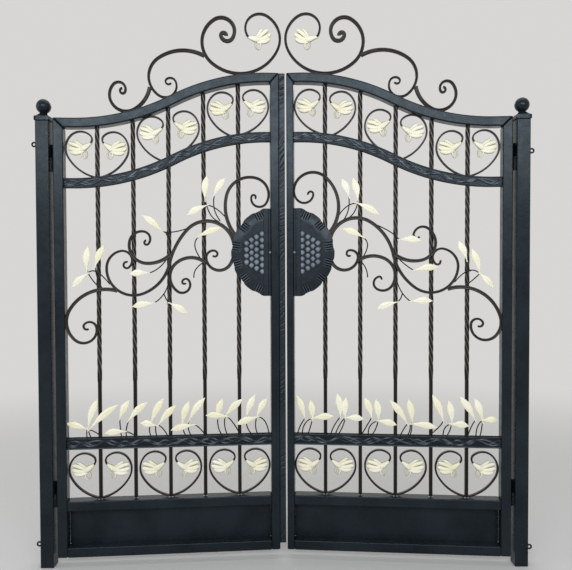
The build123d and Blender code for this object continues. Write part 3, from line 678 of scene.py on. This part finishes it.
def leaf(foot, direction, length, level, keep):
    """Forged leaf: slim neck, widest past the middle, a pointed tip that droops, faint midrib."""
    c, s = cos(radians(direction)), sin(radians(direction))
    droop = LEAF_DROOP * length * (1 if c > 0 else -1)

    def point(t, p):
        blade = sin(pi * t**1.5) ** 1.1
        half = max(LEAF_WIDTH / 2 * blade, LEAF_NECK * (1 - t) if t < 0.5 else LEAF_EDGE)
        lift = level + LEAF_ARCH * sin(pi * min(t * 1.15, 1)) - LEAF_DIP * t
        crown = LEAF_CROWN * (half / 12) * (1 - p * p) ** 0.8
        rib = bell(p, RIB_WIDTH) * min(1, half / 6)
        a = -LEAF_TAIL + t * (length + LEAF_TAIL)
        b = droop * sin(pi * t) + p * half
        u, v = keep(foot[0] + a * c - b * s, foot[1] + a * s + b * c)
        # painted shade: darker along the midrib, at the edges and at the neck
        shade = 1.0 - 0.12 * rib - 0.12 * abs(p) ** 6 - 0.2 * max(0, 1 - 6 * t)
        return u, v, lift + LEAF_SHEET + crown - 0.6 * rib, lift + LEAF_EDGE + crown * 0.8, shade

    return shell(LEAF_STEPS, LEAF_ACROSS, point, BACK_TONE)


def finger(place, flip, turn, root, tip, widths, bow, painted_brightness, level):
    """Rounded acanthus finger, bowed sideways, in axes turned with the scroll's end."""
    x, y, heading = place[:3]
    c, s = cos(heading - flip * turn), sin(heading - flip * turn)
    run = [end - start for start, end in zip(root, tip)]
    length = hypot(*run)
    along = [step / length for step in run]

    def point(t, p):
        wide = widths[0] + (widths[1] - widths[0]) * min(t / FINGER_SPREAD, 1)
        past = max((t - FINGER_ROUND) / (1 - FINGER_ROUND), 0)
        half = wide / 2 * max(1 - past**2.2, 0.02) ** 0.5
        b = bow * sin(pi * t) + p * half
        a = root[0] + length * t * along[0] - b * along[1]
        b = root[1] + length * t * along[1] + b * along[0]
        lift = level + FINGER_ARCH * sin(pi * min(t, 0.85))
        crown = (3.6 * half / 8 + 1) * sqrt(max(1 - p * p, 0))
        # painted shade: darker towards the finger's edges, and the whole finger by its painted brightness
        shade = painted_brightness * (1 - 0.8 * abs(p) ** 5)
        return x + a * c + b * flip * s, y + a * s - b * flip * c, lift + 1.5 + crown, lift - 1.0, shade

    return shell(FINGER_STEPS, FINGER_ACROSS, point, BACK_TONE * painted_brightness)


def cluster(place, flip, middle, turn=ACANTHUS_TURN):
    """Acanthus end of a scroll: two hanging prongs, a neck and a hand of four fingers."""
    level = middle + FINGER_LEVEL
    return [finger(place, flip, turn, *row, level + FINGER_LAYER * k) for k, row in enumerate(ACANTHUS)]


def twisted_bar(side, place):
    """Square bar, plain at the foot; above, the twist draws its flats in to narrow flutes."""
    half = BAR_SIDE / 2
    turns = angles(BAR_POINTS)
    square = [min(half / max(abs(cos(a)), abs(sin(a))), half * sqrt(2) - BAR_EASE / 2) for a in turns]
    fluted = [BAR_FLUTE + (BAR_CREST - BAR_FLUTE) * abs(sin(2 * a)) ** 0.8 for a in turns]
    foot, start = KICK_TOP - BAR_SEAT, TWIST_FOOT - TWIST_EASE
    run = sweep_point(place, RAIL)[0] + BAR_HEAD - start
    rows = ceil(run / BAR_STEP)
    rings, shades = [], []
    for v in [foot, foot + BAR_PLAIN, *(start + run * k / rows for k in range(rows + 1))]:
        rise = v - TWIST_FOOT + TWIST_EASE / 2
        soft = (hypot(rise, TWIST_EASE / 2) + rise) / 2 if v > start else 0
        angle = WAY[side] * soft * (pi / 2) / QUARTER_TURN
        drawn = clamp((v - start) / TWIST_EASE)
        reach = [p + (q - p) * drawn for p, q in zip(square, fluted)]
        rings.append([(place + r * cos(a + angle), v, MIDDLE + r * sin(a + angle))
                      for a, r in zip(turns, reach)])
        # painted highlights: narrow light lines on the crests of the twist, none on the plain foot
        shades.append([BAR_PAINTED_HIGHLIGHT * drawn * abs(sin(2 * a)) ** 14 for a in turns])
    return skin(rings, shades)


def pressed_pattern(s, t, phase):
    """Height and shade of the pressed pattern, s mm along a band and t across it."""
    lines = [0.5 + sway * sin(2 * pi * s / wave + phase * share + shift)
             for sway, wave, share, shift in RELIEF_LINES]
    strength = 0.55 + 0.45 * sin(s / 9 + 2 * sin(s / 47 + phase) + 5 * t)
    ridge = max(bell(t - line, RELIEF_WIDTH) for line in lines)
    lip = max(bell(t - edge, LIP_WIDTH) for edge in LIP_PLACES)
    grain = GRAIN_HEIGHT * sin(2 * pi * (t * 7 + 1.3 * sin(2 * pi * s / 110 + phase)))
    # painted highlights on the ridges and lips, painted shade in the ground between them
    shade = min(0.02 + max(0.85 * ridge**2 * strength, 0.2 * lip), 1)
    return RELIEF_HEIGHT * ridge * (0.6 + 0.4 * strength) + LIP_HEIGHT * lip + grain * (1 - lip), shade


def pressed(rows, rear, back):
    """Closed sheet over rows of front points with their shades, its back at a level."""
    rings = [[point for point, _ in row] + [(*row[k][0][:2], rear) for k in (-1, 0)] for row in rows]
    return skin(rings, [[shade for _, shade in row] + [back, back] for row in rows])


def band(line, tall, rear, phase, outward, painted_brightness):
    """Pressed flat bar along a line of x, height and slope; outward is 1 in front, -1 behind."""
    rows = []
    s, last = 0.0, line[0]
    for x, height, slope in line:
        s += hypot(x - last[0], height - last[1])
        last = (x, height)
        row = []
        for j in range(BAND_SAMPLES + 1):
            t = j / BAND_SAMPLES
            raised, shade = pressed_pattern(s, t, phase)
            raised -= BAND_EASE * abs(2 * t - 1) ** 24
            drop, level = tall * t, rear + outward * (BAND_SHEET - BAND_EASE + raised)
            # the pressed pattern's painted highlight, scaled by the band's painted brightness
            row.append(((x + drop * sin(slope), height - drop * cos(slope), level), shade * painted_brightness))
        rows.append(row)
    return pressed(rows, rear, BAND_BACK)


def band_line(side, drop=None):
    """Stations of a band's upper edge, crowned where a drop is given."""
    count = ceil((INNER[side] - BAY) / BAND_STEP)
    places = [BAY + (INNER[side] - BAY) * k / count for k in range(count + 1)]
    if drop is None:
        return [(x, BAND_TOP - BAND_SINK, 0.0) for x in places]
    return [(x, *sweep_point(x, drop)) for x in places]


def stud(across, up):
    """Share of a scale's height at an offset from its middle: round above, pointed below."""
    down = up / STUD_ABOVE if up > 0 else -up / STUD_BELOW
    return 1 - (abs(across) / STUD_HALF) ** 1.7 - down**1.5


def rosette_point(side, r, angle, v, from_strip):
    """Height of the pressed disc over its back plane, and its shade."""
    inward = ROSETTE_RADIUS - r
    lift = ROSETTE_SHEET + ROSETTE_RISE * sin(clamp(inward / ROSETTE_BULGE) * pi / 2)
    shade = ROSETTE_TONE
    for crimp in CRIMPS[side]:
        offset = (angle - radians(crimp)) * r
        held = bell(offset, CRIMP_WIDTH, 6) * clamp((PLEAT_REACH - inward) / PLEAT_FADE)
        wave = cos(2 * pi * offset / PLEAT)
        lift += held * (PLEAT_DEPTH * wave - PLEAT_SINK)
        # painted highlight on the pleats' crests, a little painted shade in their hollows
        shade += held * PLEAT_PAINTED_HIGHLIGHT * max(wave, -0.1)
    for k, (place, tall) in enumerate(STUD_COLUMNS):
        shift = STUD_PITCH / 2 * (k % 2)
        up = (v - shift + STUD_PITCH / 2) % STUD_PITCH - STUD_PITCH / 2
        scale = stud(from_strip - place, up)
        if abs(v - up) <= tall and scale > -0.9:
            lift += STUD_HEIGHT * sqrt(max(scale, 0))
            # painted highlight on the studs' tops, painted shade in the gaps round them
            shade = clamp(0.25 + scale) if scale > 0 else min(shade, 0)
    return lift, max(shade, 0)


def rosette_half(side):
    """Half disc with a crimped rim, and its riveted edge strip along the lock stile."""
    middle_u = MIDLINE - ROSETTE_OFFSETS[side]
    middle_v = BAND_TOP + ROSETTE_HEIGHT
    edge = INNER[side] - ROSETTE_STRIP
    reach = middle_u - edge
    limit = acos(reach / (ROSETTE_RADIUS - 1))
    rows = []
    for i in range(ROSETTE_TURNS + 1):
        a = -limit + 2 * limit * i / ROSETTE_TURNS
        notch = max(bell((a - radians(crimp)) * ROSETTE_RADIUS, CRIMP_NOTCH, 4) for crimp in CRIMPS[side])
        outer = ROSETTE_RADIUS - ROSETTE_NOTCH * notch
        inner = reach / cos(a)
        row = []
        for j in range(ROSETTE_RADIAL + 1):
            r = inner + (max(outer, inner + 0.5) - inner) * j / ROSETTE_RADIAL
            u, v = middle_u - r * cos(a), r * sin(a)
            lift, shade = rosette_point(side, r * ROSETTE_RADIUS / outer, a, v, edge - u)
            row.append(((u, middle_v + v, VINE_FRONT + lift), shade))
        rows.append(row)
    tall = sqrt(ROSETTE_RADIUS**2 - reach**2)
    full = tall - STRIP_EASE
    strip = skin([
        [(edge + across, middle_v + v, VINE_FRONT + max(high - ease, 0)) for across, high in STRIP_PROFILE]
        for v, ease in ((-tall, STRIP_EASE), (-full, 0), (full, 0), (tall, STRIP_EASE))
    ], [[ROSETTE_TONE] * len(STRIP_PROFILE)] * 4)
    # the rivet takes the full shade: a painted highlight
    rivet = (edge + RIVET_PLACE, middle_v, VINE_FRONT + ROSETTE_SHEET + ROSETTE_RISE - RIVET_SINK)
    return [pressed(rows, VINE_FRONT, 0.0), strip, dome(rivet, RIVET_RADIUS, RIVET_HEIGHT)]


def dome(centre, radius, height):
    """Round head standing forward of a face."""
    x, y, z = centre
    turns = [pi / 2 * k / DOME_LEVELS for k in range(DOME_LEVELS + 1)]
    return turned((x, y), [(max(radius * cos(a), 0.2), z + height * sin(a)) for a in turns], DOME_POINTS)


def weld(centre, along, across, high):
    """Small uneven weld bead."""
    x, y, z = centre
    rings = []
    for i in range(WELD_ROWS + 1):
        t = 2 * i / WELD_ROWS - 1
        size = sqrt(max(1 - t * t, 0.02))
        ring = []
        for a in angles(WELD_POINTS):
            rough = 1 + WELD_ROUGH * noise.noise(Vector((x + t * 3, y + a, z)))
            q, lift = across * size * rough * cos(a), high * size * rough * sin(a)
            ring.append((x + along * t, y + q, z + lift))
        rings.append(ring)
    return skin(rings)


def make_frame(side):
    for node, radius in TUBE_RADII.items():
        rounded(f"{node}_{side}", radius, "frame_paint", leaf_body(side))


def make_bars(side):
    shapes = [twisted_bar(side, place) for place in bar_places(side)]
    leaf_piece("twisted_bars", side, shapes, "frame_paint", "bars", "bar_paint")


def make_bands(side):
    phase = BAND_PHASES[side]
    for name, drop, tall, painted_brightness in BANDS:
        line = band_line(side, drop)
        shapes = [band(line, tall, BAR_FRONT, phase, 1, painted_brightness), band(line, tall, BAR_REAR, phase, -1, painted_brightness)]
        leaf_piece(f"pressed_{name}", side, shapes, "frame_paint", name, "relief_paint")


def make_hearts(side):
    """Half hearts over the upper band and under the lower one, paired about a bar; returns their ends."""
    places = bar_places(side)
    half = BAR_SIDE / 2
    ends = []
    for zone in ("upper", "lower"):
        shapes = []
        for k, lifts in HEARTS:
            x = places[k]
            before = places[k - 1] + half if k else BAY
            after = places[k + 1] - half if k < BAR_COUNT - 1 else INNER[side]
            limits = ((before, x - half + HEART_BITE), (x + half - HEART_BITE, after))
            for flip, lift, limit in zip((1, -1), lifts, limits):
                level = KICK_TOP + HEART_SEAT
                if zone == "upper":
                    level = sweep_point(x - flip * HEART_REACH, BAND_DROP)[0] + lift
                start, heading = (x - flip * HEART_BAR, level), 90 + flip * HEART_LEAN
                stations = scroll_stations(start, heading, (HEART_BAR, HEART_TIP), HEART_ARCS, flip)
                rear = MIDDLE - HEART_DEPTH / 2
                shapes.append(forged(stations, ROUNDED, rear, HEART_DEPTH, inside(*limit)))
                ends.append((stations[-1], flip))
        leaf_piece(f"heart_scrolls_{zone}", side, shapes, "scroll_paint", f"{zone}_hearts")
    return ends


def make_vine(side):
    keep = inside(BAY, INNER[side])
    shapes = []
    for start, heading, arcs in VINES[side]:
        stations = scroll_stations(*from_middle(start), heading, VINE_WIDTHS, arcs)
        shapes.append(forged(stations, GROOVED, BAR_FRONT, VINE_DEPTH, keep))
    for points in STEMS[side]:
        stations = stem_stations(*from_middle(*points))
        shapes.append(forged(stations, ROD, VINE_FRONT - STEM, STEM, keep))
    leaf_piece("vine", side, shapes, "scroll_paint", "vine_scrolls")
    leaves = [leaf(*from_middle(foot), direction, length, VINE_FRONT - LEAF_SINK, keep)
              for foot, direction, length in VINE_LEAVES[side]]
    leaf_piece("forged_leaves", side, leaves, "gold_paint", "vine_leaves")


def make_sprigs(side):
    keep = inside(BAY, INNER[side])
    rear = BAR_FRONT + (BAND_SHEET - STEM) / 2
    stems, leaves = [], []
    for foot, direction, length, middle, root_x in SPRIGS[side]:
        path = from_middle(foot, middle, (root_x, -SPRIG_SEAT - BAND_SINK))
        stems.append(forged(stem_stations(*path), ROD, rear, STEM))
        leaves.append(leaf(path[0], direction, length, rear + STEM - LEAF_SINK, keep))
    leaf_piece("sprig_rods", side, stems, "scroll_paint", "sprig_stems")
    leaf_piece("sprig_blades", side, leaves, "gold_paint", "sprig_leaves")


def make_crest(side):
    """Scrolls on the top rail; returns the end that carries a cluster."""
    shapes = []
    seat = sweep_point(MIDLINE + CREST_SEAT, 0)[0]
    for (x, y), heading, widths, arcs in CREST:
        stations = scroll_stations((MIDLINE + x, seat + y), heading, widths, arcs)
        shapes.append(forged(stations, GROOVED, CREST_MIDDLE - CREST_DEPTH / 2, CREST_DEPTH))
    leaf_piece("crest_scrolls", side, shapes, "scroll_paint", "crest")
    return stations[-1]


def make_clusters(side, heart_ends, crest_end):
    shapes = [shape for place, flip in heart_ends for shape in cluster(place, flip, MIDDLE)]
    shapes += cluster(crest_end, -1, CREST_MIDDLE, CREST_TURN)
    leaf_piece("acanthus_ends", side, shapes, "gold_paint", "scroll_leaves")


def make_rosette(side):
    leaf_piece("pressed_rosette", side, rosette_half(side), "frame_paint", "rosette", "relief_paint")


def make_strip():
    """Cover strip with a slanted rope pattern down its face."""
    low, high = span("cover_strip")
    width, tall, _ = high - low
    count = ceil(tall / COVER_STEP)
    rows = []
    for i in range(count + 1):
        v = low.y + tall * i / count
        slant = 0.9 + 0.5 * sin(v / 83)
        row = []
        for j in range(COVER_SAMPLES + 1):
            t = j / COVER_SAMPLES
            lip = max(bell(t - edge, 0.05) for edge in (0.04, 0.96))
            turn = (v - t * width * slant + 7 * sin(v / 37) + 4 * sin(v / 13)) / COVER_PITCH
            groove = bell(from_turn(turn), 0.11) * (0.55 + 0.45 * sin(v / 51))
            groove += 0.5 * bell(from_turn(turn - 0.4), 0.08) * (0.5 - 0.5 * sin(v / 29))
            field = clamp((0.4 - abs(t - 0.48)) / 0.08)
            level = high.z - COVER_FACE + lip - COVER_GROOVE * field * min(groove, 1)
            # painted shade in the grooves, a slight painted highlight on the lips and field
            shade = clamp(COVER_TONE + 0.03 * field + 0.03 * lip - 0.1 * field * groove)
            row.append(((low.x + width * t, v, level), shade))
        rows.append(row)
    piece("pressed_cover_strip", leaf_body("left"), SPACES["left"], [pressed(rows, low.z, COVER_TONE)],
          "frame_paint", ("cover_strip",), "relief_paint")


def turned(axis, levels, count=28):
    """Round solid about an upright axis through levels of (radius, height)."""
    x, y = axis
    return skin([[(x + r * cos(a), y + r * sin(a), z) for a in angles(count)] for r, z in levels])


def plate(corner, size, ease=1.0):
    """Flat bar with eased edges, from its low corner."""
    rings = []
    x, y, z = corner
    wide, deep, tall = size
    for height, a in ((0, ease), (ease, 0), (tall - ease, 0), (tall, ease)):
        b = a + ease
        outline = ((b, a), (wide - b, a), (wide - a, b), (wide - a, deep - b),
                   (wide - b, deep - a), (b, deep - a), (a, deep - b), (a, b))
        rings.append([(x + px, y + py, z + height) for px, py in outline])
    return skin(rings)


def knuckle(foot):
    """Levels of an eased knuckle, as turned takes them."""
    head, narrow = foot + KNUCKLE_LENGTH, KNUCKLE_RADIUS - KNUCKLE_EASE
    wide = KNUCKLE_RADIUS
    return [(narrow, foot), (wide, foot + KNUCKLE_EASE), (wide, head - KNUCKLE_EASE), (narrow, head)]


def make_hinges(side):
    """Knuckles, pins and straps on the post, and the turning knuckles on the leaf."""
    axis = tuple(value / MM for value in JOINTS[leaf_body(side)]["pos_m"][:2])
    post_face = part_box(f"post_{side}")[1].y / MM
    near = axis[0] - WAY[side] * HINGE_GAP / 2
    far = near - WAY[side] * POST_STRAP
    pin = PIN_RADIUS - PIN_PLAY
    fixed, turning = [], []
    for z in HINGE_FEET:
        top = z + KNUCKLE_LENGTH
        fixed.append(turned(axis, knuckle(z)))
        fixed.append(turned(axis, [(pin, top - 1), (pin, top + KNUCKLE_LENGTH - PIN_SHORT)], PIN_POINTS))
        fixed.append(plate((min(near, far), post_face, z), (POST_STRAP, HINGE_PLATE, KNUCKLE_LENGTH)))
        foot = top + KNUCKLE_GAP
        turning.append(turned((0, 0), [*knuckle(foot), (BOSS_RADIUS, foot + KNUCKLE_LENGTH + BOSS_RISE)]))
        corner = (HINGE_GAP / 2, BACK - HINGE_PLATE, foot)
        turning.append(plate(corner, (LEAF_STRAP, HINGE_PLATE, KNUCKLE_LENGTH)))
    piece(f"hinge_posts_{side}", "posts", POST_SPACE, fixed, "hinge_steel", (f"hinge_pins_{side}",))
    piece(f"hinge_knuckles_{side}", leaf_body(side), SPACES[side] @ SWAP_YZ, turning, "hinge_steel",
          (f"hinge_barrels_{side}",))


def cap_ring(middle, a, b, z, round_share):
    """Level ring of a post cap, from a square with trimmed corners to a circle."""
    made = []
    for j in range(4 * CAP_SIDE_POINTS):
        face, f = j // CAP_SIDE_POINTS, (j % CAP_SIDE_POINTS) / CAP_SIDE_POINTS * 2 - 1
        flat = ((1, f), (-f, 1), (-1, -f), (f, -1))[face]
        turn = pi / 2 * (j / CAP_SIDE_POINTS - 0.5)
        trim = 1 - CAP_CORNER / max(a, b) * 0.4 * (abs(f) > 0.99)
        px = a * ((1 - round_share) * flat[0] * trim + round_share * cos(turn))
        py = b * ((1 - round_share) * flat[1] * trim + round_share * sin(turn))
        made.append((middle.x + px, middle.y + py, z))
    return made


def make_cap(side):
    """Post cap: eased plate, low pyramid, neck and ball in one turned form."""
    low, high = (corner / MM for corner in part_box(f"post_cap_{side}"))
    middle = (low + high) / 2
    half_x, half_y = (high.x - low.x) / 2, (high.y - low.y) / 2
    plate_top = low.z + CAP_PLATE
    ball_centre = plate_top + CAP_SLOPE + sqrt(BALL_RADIUS**2 - BALL_SEAT**2)
    levels = ((CAP_EASE, low.z), (0, low.z + CAP_EASE), (0, plate_top - CAP_EASE), (CAP_EASE, plate_top))
    rings = [cap_ring(middle, half_x - inset, half_y - inset, z, 0) for inset, z in levels]
    for k in range(1, SLOPE_LEVELS + 1):
        t = k / SLOPE_LEVELS
        a, b = (h - CAP_INSET + (BALL_SEAT - h + CAP_INSET) * t for h in (half_x, half_y))
        rings.append(cap_ring(middle, a, b, plate_top + CAP_SLOPE * t**1.15, t * t))
    lowest = -acos(BALL_SEAT / BALL_RADIUS)
    for k in range(1, BALL_LEVELS + 1):
        latitude = lowest + (pi / 2 - lowest) * k / BALL_LEVELS
        r = max(BALL_RADIUS * cos(latitude), 0.3)
        rings.append(cap_ring(middle, r, r, ball_centre + BALL_RADIUS * sin(latitude), 1))
    piece(f"ball_cap_{side}", "posts", POST_SPACE, [skin(rings)], "frame_paint", (f"post_cap_{side}",))


def make_eyes(side):
    """Welded rings on the outer face of a post."""
    low, high = (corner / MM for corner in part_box(f"anchor_eyes_{side}"))
    face = high.x if side == "left" else low.x
    centre_x = face - WAY[side] * EYE_REACH
    wide, deep, tall = EYE_PAD
    shapes = []
    for z in (low.z + EYE_INSET, high.z - EYE_INSET):
        shapes.append(skin([
            [(centre_x + (EYE_RADIUS + EYE_ROD * cos(b)) * cos(a), EYE_ROD * sin(b),
              z + (EYE_RADIUS + EYE_ROD * cos(b)) * sin(a)) for b in angles(EYE_POINTS)]
            for a in [*angles(EYE_TURNS), 2 * pi]
        ]))
        corner = (min(face, face - WAY[side] * wide), -deep / 2, z - tall / 2)
        shapes.append(plate(corner, EYE_PAD, EYE_PAD_EASE))
    piece(f"rings_{side}", "posts", POST_SPACE, shapes, "frame_paint", (f"anchor_eyes_{side}",))


def make_welds(side):
    """Beads at the feet of the bars."""
    # the beads take the relief paint at full shade: a painted highlight
    shapes = [weld((place + shift, KICK_TOP + 1, BAR_FRONT - 3), *WELD_SIZE)
              for place in bar_places(side) for shift in WELD_SHIFTS]
    leaf_piece("weld_beads", side, shapes, "frame_paint", None, "relief_paint")


def dress_nodes():
    """Paint every CAD node after its slot."""
    slots = {part["node"]: part["material_slot"] for part in frame["record"]["subparts"]}
    for name, node in frame["nodes"].items():
        node.data.materials.clear()
        node.data.materials.append(MATERIALS[slots.get(name, "frame_paint")])


# pale backdrop, and the floor that fades into it
BACKDROP = (1.0, 0.99, 0.97, 1)
BACKDROP_LEVEL = 0.68
WORLD_LEVEL = 0.38
FLOOR_COLOUR = (0.66, 0.655, 0.64, 1)
FLOOR_ROUGHNESS = 0.9
FLOOR_SPECULAR = 0.1
FLOOR_REACH = 40
FLOOR_CENTRE = (0.97, 0.0, 0.0)
FADE_START = 1.6
FADE_END = 5.0

# panels: place, target, size, power and colour; the high one lights the gate's upper half
GATE_MIDDLE = (0.97, 0.05, 1.2)
LAMPS = {
    "high front": ((0.97, -4.8, 2.9), (0.97, 0.0, 1.9), (5.8, 1.5), 195, (0.88, 0.94, 1.0)),
    "side": ((-4.2, -1.6, 2.6), GATE_MIDDLE, (2.0, 3.0), 30, (1, 1, 1)),
    "top": ((1.0, 0.4, 5.2), GATE_MIDDLE, (5.0, 3.0), 60, (0.95, 0.98, 1.0)),
    "rear": ((0.97, 5.0, 4.4), GATE_MIDDLE, (5.0, 2.4), 60, (1, 1, 1)),
}

# the photograph's viewpoint: level with the middle of the gate, tilted slightly down
CAMERA_PLACE = (0.98356, -2.82558, 1.23802)
CAMERA_LENS = 43.41
CAMERA_SENSOR = 36
CAMERA_PITCH = radians(1.604)
CAMERA_ROLL = radians(-0.197)


def combined(nodes, links, operation, first, second):
    """Output of a math node over two other outputs."""
    made = nodes.new("ShaderNodeMath")
    made.operation = operation
    links.new(first, made.inputs[0])
    links.new(second, made.inputs[1])
    return made.outputs[0]


def background_ray(nodes, links):
    """1 for the rays that see the backdrop: camera, glossy and transmission."""
    rays = nodes.new("ShaderNodeLightPath").outputs
    seen = combined(nodes, links, "MAXIMUM", rays["Is Camera Ray"], rays["Is Glossy Ray"])
    return combined(nodes, links, "MAXIMUM", seen, rays["Is Transmission Ray"])


def make_stage():
    """Plain pale floor that runs into the backdrop away from the gate."""
    mesh = bpy.data.meshes.new("floor")
    corners = [(x * FLOOR_REACH, y * FLOOR_REACH, 0) for x, y in ((-1, -1), (1, -1), (1, 1), (-1, 1))]
    mesh.from_pydata(corners, [], [(0, 1, 2, 3)])
    floor = bpy.data.objects.new("floor", mesh)
    bpy.context.scene.collection.objects.link(floor)
    material, nodes, links, shader = new_material("floor", {
        "Base Color": FLOOR_COLOUR, "Roughness": FLOOR_ROUGHNESS, "Specular IOR Level": FLOOR_SPECULAR,
    })
    glow = add(nodes, "Emission", {"Color": BACKDROP, "Strength": BACKDROP_LEVEL})
    place = nodes.new("ShaderNodeNewGeometry")
    away = add(nodes, "VectorMath", {1: FLOOR_CENTRE})
    away.operation = "DISTANCE"
    links.new(place.outputs["Position"], away.inputs[0])
    fade = add(nodes, "MapRange", {"From Min": FADE_START, "From Max": FADE_END})
    fade.interpolation_type = "SMOOTHSTEP"
    links.new(away.outputs["Value"], fade.inputs["Value"])
    share = combined(nodes, links, "MULTIPLY", fade.outputs["Result"], background_ray(nodes, links))
    mix = nodes.new("ShaderNodeMixShader")
    links.new(share, mix.inputs["Fac"])
    links.new(shader.outputs["BSDF"], mix.inputs[1])
    links.new(glow.outputs["Emission"], mix.inputs[2])
    links.new(mix.outputs["Shader"], nodes["Material Output"].inputs["Surface"])
    mesh.materials.append(material)


def make_light():
    """Soft panels round the gate and a pale world."""
    for name, (place, target, size, power, colour) in LAMPS.items():
        data = bpy.data.lights.new(name, "AREA")
        data.shape = "RECTANGLE"
        data.size, data.size_y = size
        data.energy = power
        data.color = colour
        made = bpy.data.objects.new(name, data)
        made.location = place
        made.rotation_euler = (Vector(target) - Vector(place)).to_track_quat("-Z", "Y").to_euler()
        bpy.context.scene.collection.objects.link(made)
    world = bpy.data.worlds.new("studio")
    bpy.context.scene.world = world
    world.use_nodes = True
    nodes, links = world.node_tree.nodes, world.node_tree.links
    strength = add(nodes, "MapRange", {"To Min": WORLD_LEVEL, "To Max": BACKDROP_LEVEL})
    links.new(background_ray(nodes, links), strength.inputs["Value"])
    backdrop = nodes["Background"]
    backdrop.inputs["Color"].default_value = BACKDROP
    links.new(strength.outputs["Result"], backdrop.inputs["Strength"])


def make_camera():
    data = bpy.data.cameras.new("camera")
    data.sensor_width = CAMERA_SENSOR
    data.lens = CAMERA_LENS
    ahead = Vector((0, cos(CAMERA_PITCH), -sin(CAMERA_PITCH)))
    right, up = Vector((1, 0, 0)), Vector((0, sin(CAMERA_PITCH), cos(CAMERA_PITCH)))
    across = cos(CAMERA_ROLL) * right + sin(CAMERA_ROLL) * up
    over = -sin(CAMERA_ROLL) * right + cos(CAMERA_ROLL) * up
    camera = bpy.data.objects.new("camera", data)
    camera.matrix_world = Matrix((across, over, -ahead)).transposed().to_4x4()
    camera.location = CAMERA_PLACE
    bpy.context.scene.collection.objects.link(camera)
    bpy.context.scene.camera = camera


dress_nodes()
for side in SIDES:
    rounded(f"post_{side}", POST_RADIUS, "frame_paint", "posts")
    make_cap(side)
    make_eyes(side)
    make_hinges(side)
    make_frame(side)
    make_bars(side)
    make_bands(side)
    heart_ends = make_hearts(side)
    make_vine(side)
    make_sprigs(side)
    crest_end = make_crest(side)
    make_clusters(side, heart_ends, crest_end)
    make_rosette(side)
    make_welds(side)
make_strip()
make_stage()
make_light()
make_camera()
bpy.context.scene.view_settings.view_transform = "Standard"
